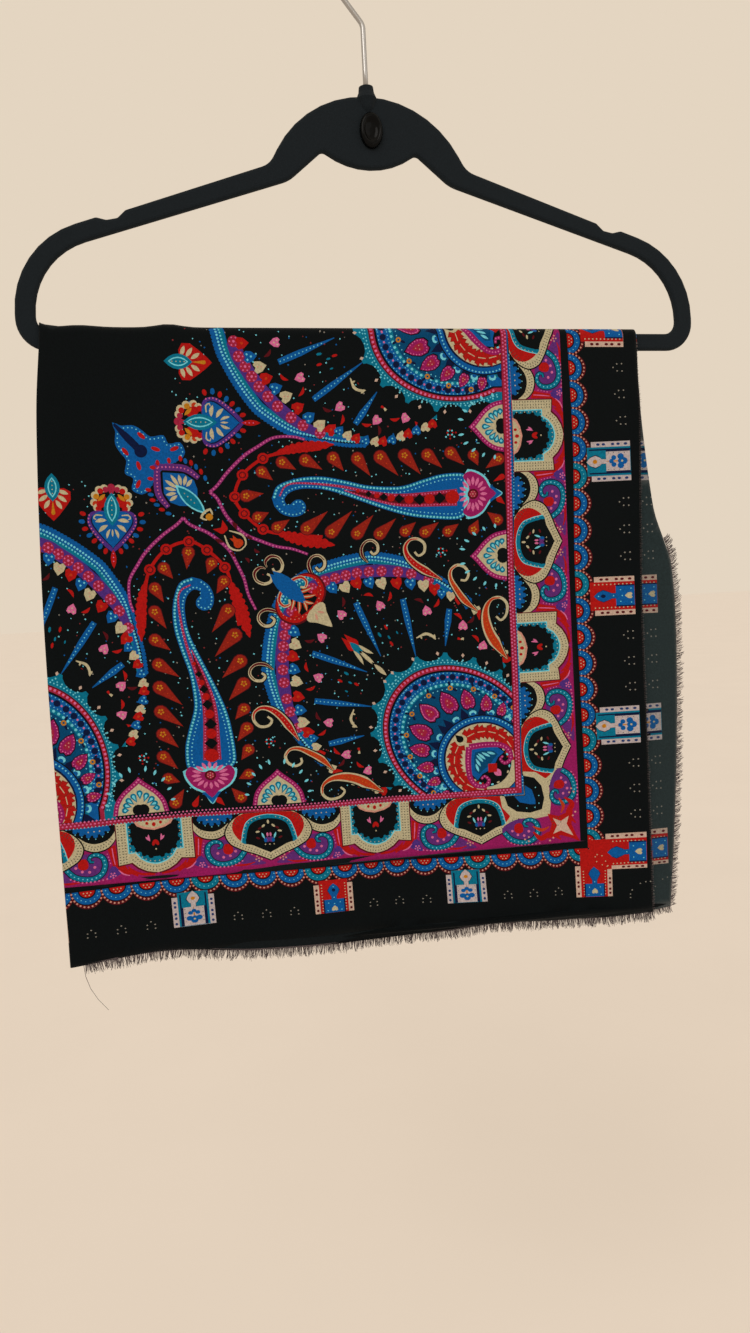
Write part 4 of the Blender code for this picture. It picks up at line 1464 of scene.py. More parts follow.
def corner_tip():
    """The ornament at the tip of the corner fan, on the diagonal: one half."""
    made = [
        ribbon(
            "wine", ((173, 159), (180, 158.5), (186, 162), (188.5, 170), (184, 179), (176, 185)),
            (1.5, 3, 4.4, 5, 4.4, 2),
        ),
        ribbon(
            "red", ((174, 159), (180, 159), (185.6, 162.4), (188, 170), (184, 178.4), (177, 184)),
            (0.8, 2, 3, 3.4, 3, 1),
        ),
        *beads("shell", smooth(((178, 159.4), (185, 162.6), (187.4, 170), (184, 178)), 2.2), 2.6, 0.4, 4),
    ]
    hook = ((166, 166), (169.5, 161.5), (175, 160), (178.4, 163), (177.4, 166.6), (174.2, 166.4))
    made.append(ribbon("cream", hook, (0.6, 2.4, 2.2, 2.0, 1.4)))
    made.append(ribbon("red", hook[:-1], (0.3, 1.4, 1.3, 0.6)))
    for start, end in (((171, 170), (182, 167)), ((173, 172.5), (184, 172)), ((175, 175), (182.5, 177.5))):
        made.append(leaf("orange", start, end, 2.5, 0.6))
        made.append(leaf("cream", start, end, 0.8, 0.6))
    made += [
        leaf("blue", (155, 157), (176, 177), 9.0),
        blob(
            "cream", ((181, 181), (186.5, 177), (189.6, 178.6), (190.2, 183), (193.5, 193.5), (186, 186)), 2.5
        ),
        leaf("shell", (184, 183), (189, 184), 1.6),
        drop("red", (207.5, 205.5), (201, 199), 5.8),
        drop("orange", (208, 208), (203, 203), 3.6),
        leaf("teal", (204.5, 204.5), (213, 211), 3.0),
    ]
    for start, end in (((210, 206.5), (220, 213)), ((212, 211), (220, 219))):
        made.append(leaf("cream", start, end, 2.4, 0.6))
    made.append(leaf("cream", (220, 220), (228, 228), 3.0))
    return made


# The borders, along the square's right side: x is the distance from its middle, y runs along the side.
GUARD, GUARD_END, ARCADE_END, STRIPE_END, CLOTH_END = 312.3, 317.8, 354.6, 359.7, 406.0
ARCH = 71.4
SCALLOP = 18.2
SCALLOPS = 20
SCALLOP_POINTS = 15
BLOCK = 90.9
BLOCKS = 4


def span(ink, low, high, start, end):
    return patch(ink, ((low, start), (high, start), (high, end), (low, end)))


def guard():
    line = np.array(((GUARD + 1.9, 0.0), (GUARD + 1.9, GUARD)))
    return [
        span("wine", GUARD - 0.5, GUARD + 4.2, -1, GUARD + 4.2),
        span("blue", GUARD + 4.0, GUARD_END, -1, GUARD_END),
        span("raspberry", GUARD, GUARD + 3.8, -1, GUARD + 3.8),
        *beads("pink", line + (-0.8, 0), 2.4, 0.72),
        *beads("pink", line + (1.0, 1.2), 2.4, 0.72),
        *beads("turquoise", line + (3.0, 0), 2.2, 0.45),
    ]


DASH_PITCH = 1.9


def dashes(line, insets):
    """Rows of small dashes on a pale band."""
    made = []
    for distance in insets:
        for at, turn in spots(beside(line, distance), DASH_PITCH):
            made.append(oval("reverse_dash", at, 0.66, 0.36, turn + math.pi / 2, 4))
    return made


CREST_OUT = (
    (317.5, 16.9), (322, 22.9), (327, 26.4), (332, 27.6), (338, 24.9), (341.5, 19.9), (344, 14.9), (346, 9.9),
    (348, 5.9), (351, 0),
)
CREST_IN = (
    (317.5, 15.4), (320, 20.4), (325, 22.9), (330, 22.6), (336, 18.9), (338, 13.9), (340, 8.9), (342.5, 3.9),
    (345.5, 0),
)


def ogee():
    """Half of a pointed medallion, about its own axis."""
    crest, inside = smooth(CREST_OUT), smooth(CREST_IN)
    made = [
        patch("black", [*beside(crest, 0.9), (317, -0.5)]),
        patch("cream", [*crest, (351, -0.5), (317, -0.5)]),
        patch("red", [*inside, (345.5, -0.5), (317, -0.5)]),
        *dashes(crest, (-1.2, -2.9)),
    ]
    ring = (
        (318.5, -0.5), (319, 4.5), (320.5, 9.8), (323.5, 14.0), (328, 16.0), (334, 17.5), (338.5, 16.5),
        (338, -0.5),
    )
    core = (
        (321.5, -0.5), (322, 4.5), (323.2, 8.4), (325.5, 11.6), (329, 13.3), (335, 14.7), (337, 14.0),
        (337, -0.5),
    )
    made += [
        patch("black", ((337, 16.0), (340.5, 10), (343.5, 4.6), (346, -0.5), (336, -0.5))),
        Shape("turquoise", smooth(ring, 2)),
        Shape("teal", smooth(np.array(ring) * (1, 0.97) + (0.4, 0), 2)),
        Shape("black", smooth(core, 2)),
        patch("black", ((335, 14.9), (338.8, 15.2), (341, 7.5), (344, 2), (344.3, -0.5), (335, -0.5))),
        *beads("cream", smooth(np.array(ring[1:6]) + (1.4, -0.6), 2), 2.8, 0.42),
    ]
    for ink, x, y, turn in (
        ("cream", 330.8, 7.1, 1.4),
        ("cream", 326.8, 3.2, 0.8),
        ("cream", 324, 0.0, 0.0),
        ("wine", 328.4, 5.6, 1.0),
        ("wine", 335.3, 7.2, 2.0),
        ("pink", 333, 1.0, 0.0),
    ):
        made.append(oval(ink, (x, y), 1.5, 0.75, turn, 6))
    made += [
        oval("purple", (336.5, 1.2), 2.0, 1.6),
        oval("blue", (337, 2.4), 1.6, 1.1),
        leaf("turquoise", (331.5, 4.6), (336, 3.0), 1.3),
    ]
    made += [oval("cream", (340, y), 0.5) for y in (0.0, 2.8)]
    return doubled(made)


def frame():
    """Half of a square-headed panel, about its own axis."""
    edge_out = (
        (317.5, 23.3), (345.5, 23.3), (345, 17.1), (344.6, 15.2), (348.6, 11.4), (351.4, 6.8), (352.6, 2.8),
        (353, 0),
    )
    edge_in = ((317.5, 17.1), (338.5, 17.1), (338.5, 12.8), (342.8, 10), (345.6, 6.2), (347, 2.4), (347.3, 0))
    made = [
        Shape("wine", np.array(edge_out + ((317.5, 0),), float) + (0.9, 0.7)),
        Shape("cream", np.array(edge_out + ((353, -0.5), (317.5, -0.5)), float)),
        *dashes(np.array(((318, 22.6), (345, 22.6)), float), (-0.4, -2.4, -4.2)),
        *dashes(smooth(((341.5, 14.5), (346.6, 10.2), (349.4, 5.6), (350.6, 0))), (-1.4, 1.0)),
        Shape("turquoise", np.array(edge_in + ((347, -0.5), (317.5, -0.5)), float)),
        patch("teal", (
            (317.5, 16.4), (337.8, 16.4), (337.8, 12.2), (342.1, 9.5), (344.9, 5.8), (346.2, 2.2),
            (346.4, -0.5), (317.5, -0.5),
        )),
    ]
    panel = ((318, 14.0), (323, 14.6), (329, 14.3), (334.5, 13.0), (338.3, 9.4), (340.8, 5.4), (342.0, 1.2))
    made.append(patch("black", [*smooth(panel, 2), (342, -0.5), (318, -0.5)]))
    for x, y in ((320.5, 14.0), (326, 14.4), (331.5, 13.7), (336.4, 11.3), (339.6, 7.4), (341.4, 3.4)):
        made.append(oval("black", (x, y), 1.7, sides=8))
    inner_line = ((319, 15.5), (337, 15.4), (337.6, 12.2), (342.0, 8.6), (344.6, 4), (345.2, 0))
    made += beads("cream", smooth(inner_line), 2.9, 0.45)
    crescent = ((317.3, 12.2), (320.2, 10.5), (322.4, 6.5), (323.8, 0), (323.8, -0.5), (317.3, -0.5))
    made += [
        patch("shell", crescent),
        patch("cream", ((317.3, 10.5), (319.6, 8.8), (321.4, 5.0), (322.4, 0), (322.4, -0.5), (317.3, -0.5))),
        oval("red", (320, 0), 1.5, 1.2),
        oval("red", (319, 4.2), 1.2, 1.0),
        leaf("pink", (326.5, 3.9), (331.5, 3.2), 1.3, 0.4),
        leaf("pink", (328, 5.8), (331, 3.6), 1.2),
        oval("red", (332.5, 0.9), 2.2, 1.1, 0.4),
        oval("cream", (337, 0), 0.6),
    ]
    return doubled(made)


def lunette():
    """The low arch between a panel and a medallion, with its blue leaf. y runs from the panel's middle."""
    line = ((317.5, 23.6), (322, 24.1), (327, 28.6), (328.8, 35.6), (327, 41.6), (322, 47.6), (317.5, 53.6))
    made = [
        Shape("black", smooth(np.array(line) + (6.2, 0), 2.5)),
        Shape(
            "cream", np.concatenate([smooth(np.array(line) + (5.2, 0), 2.5), [(317.5, 56), (317.5, 23.3)]])
        ),
        *dashes(smooth(np.array(line[1:]) + (4.8, 0.5)), (1.0, 2.8)),
        Shape("black", smooth(line, 2)),
    ]
    leaf_line = ((317.5, 27), (320.5, 29), (322.6, 34), (322.6, 39), (320.5, 44), (317.5, 49.5))
    made.append(Shape("blue", smooth(leaf_line, 2)))
    for at, _ in spots(smooth(leaf_line), 4.2):
        made.append(oval("blue", at + (0.6, 0), 1.5, sides=7))
        made.append(oval("turquoise", at + (2.6, 0), 0.45))
    made += [oval("cream", (320.4, y), 0.55) for y in (36.3, 39.8, 33)]
    return made


def cluster(ink, at, size=1.9):
    """Five small dots about a sixth."""
    return [oval(ink, at, 0.75, sides=4)] + dots(ink, 0.7, *around(at, size, 5))


def hooked():
    """The hooked scroll with its fan. y runs from the panel's middle."""
    ground = (
        (336, 31.5), (344, 28.8), (351, 31), (354.2, 37), (354, 44), (350.5, 51), (343.5, 56.5), (339, 54),
        (335, 44),
    )
    hook = (
        (344, 55), (349.5, 50.3), (352, 43.5), (351.7, 37.8), (348.8, 33.5), (343.8, 31.6), (338.8, 32.4),
        (336.2, 35.6), (336.4, 39), (338.4, 40.9), (340.4, 40.1), (340.8, 38),
    )
    made = [
        blob("purple", ground, 3),
        ribbon("black", hook, (4.2, 4.4, 4.3, 4.2, 4.0, 3.4, 2.2)),
        ribbon("teal", hook, (3.0, 3.3, 3.2, 3.1, 2.9, 2.3, 1.2)),
        *beads("turquoise", smooth(hook[:-2]), 2.7, 0.55),
        blob("red", ((338, 43), (341.5, 41.5), (344.5, 42), (345.5, 45), (343.5, 47.8), (339, 47)), 2),
    ]
    for x, y in ((344.3, 37.9), (347.2, 41.3), (346.4, 45.6), (343.4, 49.2)):
        made.append(oval("pink", (x, y), 1.0, sides=6))
    made += beads("pink", smooth(((353.2, 30), (354, 38), (353.6, 47), (350, 54))), 2.4, 0.7)
    return made


def scroll():
    """The ground between two arches with its hooked scroll and flames. y runs from the panel's middle."""
    return [
        patch("magenta", ((328, 22), (354.6, 0), (354.6, ARCH + 0.2), (330, ARCH), (330, 40))),
        blob("violet", ((347, 19), (352, 24), (354, 31), (350, 30), (345, 27.5)), 3),
        blob("purple", ((346, 56), (352, 52), (354, 59), (353.5, 68), (350, 63)), 3),
        *hooked(),
        *cluster("shell", (349.6, 63.6)),
        *cluster("shell", (344.6, 59.4), 1.6),
        *cluster("pink", (351.5, 27.5), 1.6),
        ribbon(
            "red", ((345, 25.5), (347.5, 21.5), (350.5, 19.5), (350.8, 15.8), (354.3, 12.5)),
            (1.0, 4.6, 4.4, 3.6, 1.0),
        ),
        ribbon("pink", ((348.5, 24.0), (351.8, 21.0), (353.2, 17.5)), (0.5, 1.0, 0.5)),
        patch("red", ((331, 24.4), (345, 24.0), (345.5, 27.0), (338, 28.2), (333, 29.5))),
        ribbon("pink", ((333, 26.6), (339, 26.2), (344.5, 25.6)), (0.5, 0.7, 0.4)),
        *beads("pink", np.array(((335.5, 29.9), (344, 28.2)), float), 2.4, 0.5),
        ribbon("red", ((354, 2), (353.2, 10), (350.4, 15), (347, 18)), (1.6, 1.8, 1.6, 1.0)),
        ribbon("red", ((353.6, 48), (353.4, 56), (352, 61)), (0.8, 1.6, 0.6)),
    ]


def arcade():
    """The arched border. A panel's middle lies at each odd arch, a medallion's at each even one."""
    made = [span("magenta", GUARD_END, ARCADE_END, -1, ARCADE_END)]
    upright = scroll() + lunette()
    flipped = [mirrored(shape) for shape in upright]
    for k in (1, 3):
        made += placed(upright + flipped, (0, k * ARCH))
    for k in (1, 3):
        made += placed(frame(), (0, k * ARCH))
    for k in (0, 2, 4):
        made += placed(ogee(), (0, k * ARCH))
    return made


def corner_arcade():
    """The arched border's own corner: one half of what lies about the diagonal."""
    made = [
        patch("black", ((317.8, 306), (328, 312), (330, 330), (317.8, 317.8))),
        patch("cream", ((317.8, 301), (326, 302), (333.5, 308), (336, 320), (334, 334), (317.8, 317.8))),
        patch("black", ((317.8, 304), (325, 306), (329.5, 312), (331, 321), (329, 329), (318, 318))),
        patch("blue", ((318.5, 311), (323, 314.5), (325, 322), (325, 325), (318.5, 318.5))),
        *dots("turquoise", 0.5, (325.5, 313), (327.5, 319), (327.3, 324.5)),
        *placed([mirrored(shape) for shape in hooked()], (0, 5 * ARCH)),
        patch("red", ((337, 334.5), (352, 349.5), (354.5, 354.5), (345, 347), (336, 337))),
        ribbon("red", ((345, 322), (350, 327), (347, 334), (352, 341)), (1.0, 4.0, 3.4, 1.0)),
        ribbon("orange", ((341, 322), (344, 328), (342, 333)), (0.8, 2.6, 0.8)),
        patch("red", ((332.5, 332.5), (340, 335), (350.5, 331.5), (349, 341.5), (353.5, 353.5))),
        patch("pale", ((336, 336), (341.6, 338.8), (347.4, 335.6), (345.6, 341.2), (350, 350))),
        *dots("reverse_dash", 0.5, (338.5, 336), (341, 336.5), (341.5, 339.5)),
    ]
    for x, y in ((350, 316), (351.5, 318.5), (348.5, 318.8), (352, 333), (350.2, 335.5)):
        made.append(oval("shell", (x, y), 0.75, sides=5))
    return made


def scallop(index):
    """One bead of the scalloped edging, with its rope."""
    ink = "teal" if index % 5 in (4, 0) and (index // 5) % 2 == 1 or index in (19, 20) else "blue"
    y = SCALLOP * (index + 0.5)
    turns = np.radians(np.linspace(-90, 90, SCALLOP_POINTS))
    half = np.stack([np.cos(turns), np.sin(turns)], axis=1)
    at = np.array((STRIPE_END, y))
    made = [
        Shape("wine", at + half * (12.4, 10.4)),
        Shape("black", at + half * (9.9, 9.5)),
        Shape(ink, at + half * (9.2, 9.1)),
        Shape("black", at + half * (5.2, 5.4)),
        Shape("red", at + half * (4.3, 4.6)),
    ]
    for x, away in ((1.4, -2.2), (1.4, 0.0), (1.4, 2.2), (3.1, 1.1), (3.1, -1.1)):
        made.append(oval("cream", at + (x, away), 0.5))
    made += beads("turquoise", at + half * (7.2, 7.3), 2.9, 0.42, 4)
    made += beads("shell", at + half * (11.1, 9.6), 2.5, 0.75, 4)
    return made


def dot_cluster(y):
    places = ((390, 0), (392.6, -2.4), (392.6, 2.4), (395.8, -2.5), (395.8, 2.5))
    return [oval("ash", (x, y + away), 0.6) for x, away in places]


def block_base(ink, trim, bars):
    """A block's field and its pale bars, about its own axis."""
    made = [span(bars, 372.5, 397.8, -13.3, 13.3), span(ink, 369.5, 397.8, -9.7, 9.7)]
    for side in (-1, 1):
        for x in (377, 380.6, 386.6, 390.2, 395):
            made.append(oval(trim, (x, side * 11.5), 1.25, 0.95, sides=6))
    return made


def key_shape(half, ink, rim):
    """A key's outline with a dark rim on its long sides. half is one side of it."""
    outline = list(half) + [(x, -y) for x, y in reversed(half[1:])]
    return [patch("navy", [(x, y * rim) for x, y in outline]), patch(ink, outline)]


def light_block():
    made = block_base("teal", "denim", "lilac")
    made.append(span("navy", 371, 397.8, -8.4, -7.4))
    made.append(span("navy", 371, 397.8, 7.4, 8.4))
    key = ((369, 0), (371.5, 2.6), (375, 4.0), (378, 2.6), (379, 1.5), (382, 1.5), (382, 6.5), (397.5, 6.5))
    made += [
        *key_shape(key, "lilac", 1.16),
        oval("gold", (374.8, 0), 1.5),
        leaf("gold", (381, 0), (397, 0), 0.9),
    ]
    for x, y, radius in (
        (385.4, 0, 1.6), (387, 2.3, 1.7), (387, -2.3, 1.7), (391.5, 3.0, 2.2), (391.5, -3.0, 2.2),
        (393.6, 0, 2.4), (391, 0, 1.5),
    ):
        made.append(oval("blue", (x, y), radius, sides=8))
    made.append(oval("cream", (392.4, 0), 0.8, sides=5))
    for x in (383.5, 387, 390.5, 394):
        made += [oval("reverse_dash", (x, side * 5.6), 0.4) for side in (-1, 1)]
    return made


def red_block():
    made = block_base("red", "wine", "pale")
    for side in (-1, 1):
        made += beads("cream", np.array(((371.5, side * 8.0), (397, side * 8.0))), 2.6, 0.55)
    key = (
        (372, 0), (374.5, 2.4), (378, 3.9), (381.5, 2.6), (383.5, 1.7), (386, 1.7), (386, 6.7), (397.7, 6.7),
    )
    made += [
        *key_shape(key, "blue", 1.14),
        oval("navy", (378, 0), 1.6, 1.3),
        *heart("cream", (394.2, 0), 4.4, math.pi),
    ]
    for x, y in ((389, 4), (389, -4), (395.6, 4.8), (395.6, -4.8), (384.5, 0), (375, 0), (390, 0)):
        made.append(oval("turquoise", (x, y), 0.5))
    return made


CORNER_BLOCK = 363.6


def corner_block():
    """The L of red at the square's corner: one leg of it."""
    made = [span("pale", 372.5, 399.5, CORNER_BLOCK - 13.6, CORNER_BLOCK + 12.6)]
    made.append(span("red", 360.5, 399.5, CORNER_BLOCK - 9.8, CORNER_BLOCK + 9.4))
    for x in (377, 380.6, 386.6, 390.2, 396.5):
        made.append(oval("wine", (x, CORNER_BLOCK - 11.7), 1.25, 0.95, sides=6))
    for x in (384, 387.6, 393, 396.6):
        made.append(oval("wine", (x, CORNER_BLOCK + 11.0), 1.25, 0.95, sides=6))
    for side in (-1, 1):
        row = np.array(((376, CORNER_BLOCK + side * 8.0), (398.5, CORNER_BLOCK + side * 7.6)))
        made += beads("cream", row, 2.6, 0.55)
    key = ((373, 0), (376, 2.6), (379.5, 4.0), (383, 2.6), (385, 1.7), (388, 1.7), (388, 6.6), (399.3, 6.6))
    made += placed(key_shape(key, "blue", 1.14), (0, CORNER_BLOCK))
    made += heart("cream", (394.5, CORNER_BLOCK), 4.4, math.pi)
    for x, y in ((391, 4), (391, -4), (397.5, 4.6), (397.5, -4.6), (386.5, 0)):
        made.append(oval("turquoise", (x, CORNER_BLOCK + y), 0.5))
    made.append(patch("red", ((362, 362), (372, 362), (376, 366), (376, 376), (362, 362))))
    made += dots("cream", 0.5, (366, 364.5), (369.5, 365.5), (372, 369.5), (373.5, 373))
    return made


def edging():
    made = [span("black", ARCADE_END, CLOTH_END + 6, -1, CLOTH_END + 6)]
    for index in range(SCALLOPS):
        made += scallop(index)
        if index % 5 in (1, 2, 3) and index < 19:
            made += dot_cluster(SCALLOP * (index + 0.5))
    for k in range(BLOCKS):
        made += placed(light_block() if k % 2 else red_block(), (0, k * BLOCK))
    made += corner_block()
    return made + dots("ash", 0.6, (395, 389.5), (398.5, 388.3), (401.5, 388.3))


STAR_TRIES = 1120
STAR_INKS = ("turquoise", "ash", "turquoise", "blue", "rose")
CROSSES = ((275, 68), (268, 147))


def stars():
    """Small pale dots on the black, and two little crosses of dots."""
    chance = random.Random("stars")
    made = []
    for _ in range(STAR_TRIES):
        x, y = chance.uniform(96, 311), chance.uniform(2, 300)
        if y <= x:
            made.append(oval(chance.choice(STAR_INKS), (x, y), chance.uniform(0.4, 0.65)))
    for x, y in CROSSES:
        for k in range(12):
            angle = math.pi * k / 4
            size = 1.8 if k < 8 else 3.8
            spot = (x + size * math.cos(angle), y + size * math.sin(angle))
            made.append(oval("turquoise" if k % 2 else "red", spot, 0.7))
    return made


MARGIN_START = 372.0
SIDE_FAN = (280.0, 0.0)
CORNER_FAN = 276.5
SMALL_AXIS, LARGE_AXIS = 23.3, 59.3
GUARD_AXES = (64.5, 151.2)


def margin(points):
    """The blocks are a little longer beside the square's left and right sides than beside its other two."""
    beyond = np.maximum(np.abs(points) - MARGIN_START, 0.0) * (0.12, -0.17)
    return points + np.sign(points) * beyond


def draw_print():
    """Every shape of the print, from the bottom one to the top one."""
    half = stars()
    half += [
        *placed(half_fan(), SIDE_FAN),
        *long_paisley(),
        *placed(half_fan(), (CORNER_FAN, CORNER_FAN), math.pi / 4, True),
    ]
    half += commas() + corner_tip()
    half += placed(palmette_small(), (0, SMALL_AXIS)) + placed(palmette_large(), (0, LARGE_AXIS))
    half += diagonal_palmette()
    for axis in GUARD_AXES:
        half += placed(guard_palmette(), (0, axis))
    half += guard()
    half += arcade() + corner_arcade()
    half += edging()
    made = []
    for shape in half:
        for points in (shape.points, shape.points[:, ::-1]):
            made += doubled([Shape(shape.ink, margin(points))])
    return made


# How far the print's places lie from an even hang, in millimetres: sideways and down. One row for each level
# of the print, one number for each of its upright lines. They are rounded from a fit of the print's lines in
# the photograph, apart from the column of 357 and three values of the column of 400, which were set one by
# one.
PRINT_LEVELS = (0, 80, 160, 240, 318, 400)
PRINT_UPRIGHTS = (0, 80, 160, 240, 318, 357, 400)
SHIFT_ACROSS = (
    (4.1, 3.0, 2.3, 2.0, 1.0, 0.2, -0.7),
    (1.8, -0.8, -1.0, -0.9, 1.9, 2.0, 2.2),
    (0.3, -3.8, -3.2, -3.2, -0.7, 0.4, 1.6),
    (-1.7, -3.5, -2.3, -2.9, -0.1, 1.1, 1.4),
    (-2.7, -2.1, -2.0, -1.7, -0.5, 2.3, 1.8),
    (-0.8, 0.0, 0.2, -0.7, 3.6, 2.8, 1.0),
)
SHIFT_DOWN = (
    (-8.5, -5.7, -2.9, -3.0, -3.6, -3.3, -3.0),
    (-9.6, -5.3, -2.6, -3.1, -3.4, -4.2, -5.0),
    (-11.4, -8.2, -5.7, -6.2, -4.8, -4.4, -3.9),
    (-13.0, -10.9, -7.8, -6.8, -5.1, -5.0, -4.8),
    (-13.4, -15.2, -13.1, -10.5, -7.7, -7.0, -6.3),
    (-18.2, -20.9, -19.7, -15.8, -10.1, -8.2, -6.2),
)
PRINT_MIDDLE = 232.0
INNER_PRINT_MIDDLE = 212.0
SEEN_FROM = 356.0
LARGE_SHAPE = 11.0
# How strongly the inks show on the cloth's wrong side.
SHOWS_THROUGH = 0.8


def shift(table, p, q):
    rows = np.array([along(tuple(zip(PRINT_UPRIGHTS, row)), p) for row in table])
    weights = np.array([along(tuple(zip(PRINT_LEVELS, row)), q) for row in np.eye(len(table))])
    return (rows * weights).sum(axis=0)


def down_the_cloth(points):
    """How far down the cloth points of the print lie, in millimetres. Past the bar the number falls."""
    p, q = points[:, 0], np.abs(points[:, 1])
    down = q + shift(SHIFT_DOWN, p, q)
    middle = shift(SHIFT_DOWN, p, np.zeros(len(p)))
    return np.where(points[:, 1] < 0, 2 * middle - down, down)


def onto_outer(points):
    """The flat cloth's x and v, in metres, for points of the print."""
    across = points[:, 0] - PRINT_MIDDLE + shift(SHIFT_ACROSS, points[:, 0], np.abs(points[:, 1]))
    return np.stack([across, down_the_cloth(points)], axis=-1) * MM


def onto_inner(points):
    """The same for the other half of the square, whose wrong side shows."""
    return np.stack([points[:, 0] - INNER_PRINT_MIDDLE, down_the_cloth(points)], axis=-1) * MM


def stands_out(shape):
    """Whether a shape is drawn on the half behind: those beside its free edge, and the large ones are."""
    return shape.points[:, 0].max() > SEEN_FROM or np.ptp(shape.points, axis=0).max() > LARGE_SHAPE


def shape_behind(shape):
    """A shape as the wrong side shows it: its black is the bare cloth's grey."""
    return shape._replace(ink="reverse") if shape.ink == "black" else shape


def laid(shapes, onto):
    """The print's shapes as they lie on one half of the cloth."""
    ends = np.cumsum([len(shape.points) for shape in shapes])
    places = np.split(onto(np.concatenate([shape.points for shape in shapes])), ends[:-1])
    return [Shape(shape.ink, place) for shape, place in zip(shapes, places)]


# Fringe. Colours of its threads, with how often each comes.
DYES = (((16, 13, 16), 7), ((30, 22, 26), 5), ((62, 38, 42), 3), ((140, 95, 95), 1), ((205, 180, 160), 0.7))
DARK_DYES = (((14, 12, 15), 6), ((28, 22, 26), 2))
PALE_DYES = (((16, 14, 18), 7), ((44, 32, 40), 3), ((100, 70, 76), 1), ((180, 145, 138), 0.8))
THREAD_RADIUS = 0.00023
THREAD_SIDES = 3
THREAD_RINGS = 5
THREAD_TIP = 0.55
ROOT_DEPTH = 0.0008
NEAR_BY = 0.002
HEM_PLACES = 160
SIDE_PLACES = 120
SIDE_TOP = 0.003
# How the threads differ: tufts of five by lean and size, and each thread by its length, thickness, shade,
# distance from the one before, lean, lift and curl.
TUFT = 5
TUFT_LEAN, TUFT_SIZES = 0.12, (0.85, 1.15)
LENGTHS, WIDTHS, SHADES, DISTANCES = (0.75, 1.15), (0.8, 1.2), (0.8, 1.2), (0.6, 1.4)
THREAD_LEAN, THREAD_LIFT, THREAD_CURL = 0.10, 0.06, 0.04

# Where a fringe starts and ends along its edge, its threads' pitch and length, and how far they lean.
Fringe = namedtuple("Fringe", "pitch start end length lean dyes")
HEM_FRINGE = Fringe(pitch=0.00027, start=0.0, end=0.3885, length=0.0064, lean=0.0, dyes=DYES)
SIDE_FRINGE = Fringe(pitch=0.0012, start=0.004, end=1.0, length=0.0019, lean=-0.1, dyes=DARK_DYES)
PALE_FRINGE = Fringe(pitch=0.00036, start=0.138, end=1.0, length=0.0052, lean=-0.3, dyes=PALE_DYES)
LOOSE_THREAD = Fringe(pitch=0.01, start=0.3895, end=1.0, length=0.038, lean=-0.15, dyes=DYES)


def frame_of(points, s):
    """A point at s along an edge, and the edge's direction there."""
    steps = np.linalg.norm(np.diff(points, axis=0), axis=1)
    reach = np.concatenate([[0.0], np.cumsum(steps)])
    at = np.array([np.interp(s, reach, points[:, i]) for i in range(3)])
    near = np.array([np.interp(max(s - NEAR_BY, 0.0), reach, points[:, i]) for i in range(3)])
    far = np.array([np.interp(min(s + NEAR_BY, reach[-1]), reach, points[:, i]) for i in range(3)])
    tangent = far - near
    return at, tangent / np.linalg.norm(tangent), reach[-1]


def thread_path(root, out, tangent, length, lean, lift, curl):
    """Places along one thread from its root to its tip."""
    normal = np.array((0.0, 1.0, 0.0))
    path = []
    for i in range(THREAD_RINGS):
        t = i / (THREAD_RINGS - 1)
        bow = math.sin(math.pi * t) * curl
        path.append(
            root + out * length * t + tangent * (lean * t * t + bow) * length + normal * lift * t * length
        )
    return np.array(path)


def tube(path, radii, sides):
    """Points and faces of a thin tube with closed ends."""
    points, faces = [], []
    directions = np.gradient(path, axis=0)
    for i, (spot, direction) in enumerate(zip(path, directions)):
        direction = direction / np.linalg.norm(direction)
        side = np.cross(direction, (0.0, 1.0, 0.03))
        side /= np.linalg.norm(side)
        other = np.cross(direction, side)
        for k in range(sides):
            angle = 2 * math.pi * k / sides
            points.append(spot + (side * math.cos(angle) + other * math.sin(angle)) * radii[i])
    for i in range(len(path) - 1):
        for k in range(sides):
            a, b = i * sides + k, i * sides + (k + 1) % sides
            faces.append((a, b, b + sides, a + sides))
    faces.append(tuple(range(sides))[::-1])
    faces.append(tuple(len(points) - sides + k for k in range(sides)))
    return points, faces


def add_fringe(name, node, edge, fringe):
    """Frayed threads along an edge of the cloth, in loose tufts."""
    chance = random.Random(name)
    points, faces, colours = [], [], []
    dyes = [linear(dye) for dye, _ in fringe.dyes]
    weights = [weight for _, weight in fringe.dyes]
    s, number = fringe.start, 0
    end = min(fringe.end, frame_of(edge, 0.0)[2])
    lean, size = 0.0, 1.0
    while s < end:
        if number % TUFT == 0:
            lean = chance.gauss(fringe.lean, TUFT_LEAN)
            size = chance.uniform(*TUFT_SIZES)
        at, tangent, _ = frame_of(edge, s)
        out = np.array((-tangent[2], 0.0, tangent[0]))
        out /= np.linalg.norm(out)
        root = at - out * ROOT_DEPTH
        length = fringe.length * size * chance.uniform(*LENGTHS)
        own_lean = lean + chance.gauss(0, THREAD_LEAN)
        lift, curl = chance.gauss(0, THREAD_LIFT), chance.gauss(0, THREAD_CURL)
        path = thread_path(root, out, tangent, length, own_lean, lift, curl)
        radii = THREAD_RADIUS * chance.uniform(*WIDTHS) * np.linspace(1.0, THREAD_TIP, THREAD_RINGS)
        new_points, new_faces = tube(path, radii, THREAD_SIDES)
        faces += [tuple(i + len(points) for i in face) for face in new_faces]
        points += new_points
        dye = chance.choices(dyes, weights)[0] * chance.uniform(*SHADES)
        colours += [dye] * len(new_faces)
        s += fringe.pitch * chance.uniform(*DISTANCES)
        number += 1
    obj = add_mesh(name, points, faces, bpy.data.materials["fringe_thread"], np.clip(colours, 0, 1))
    return carried(obj, "fringe_thread", node)


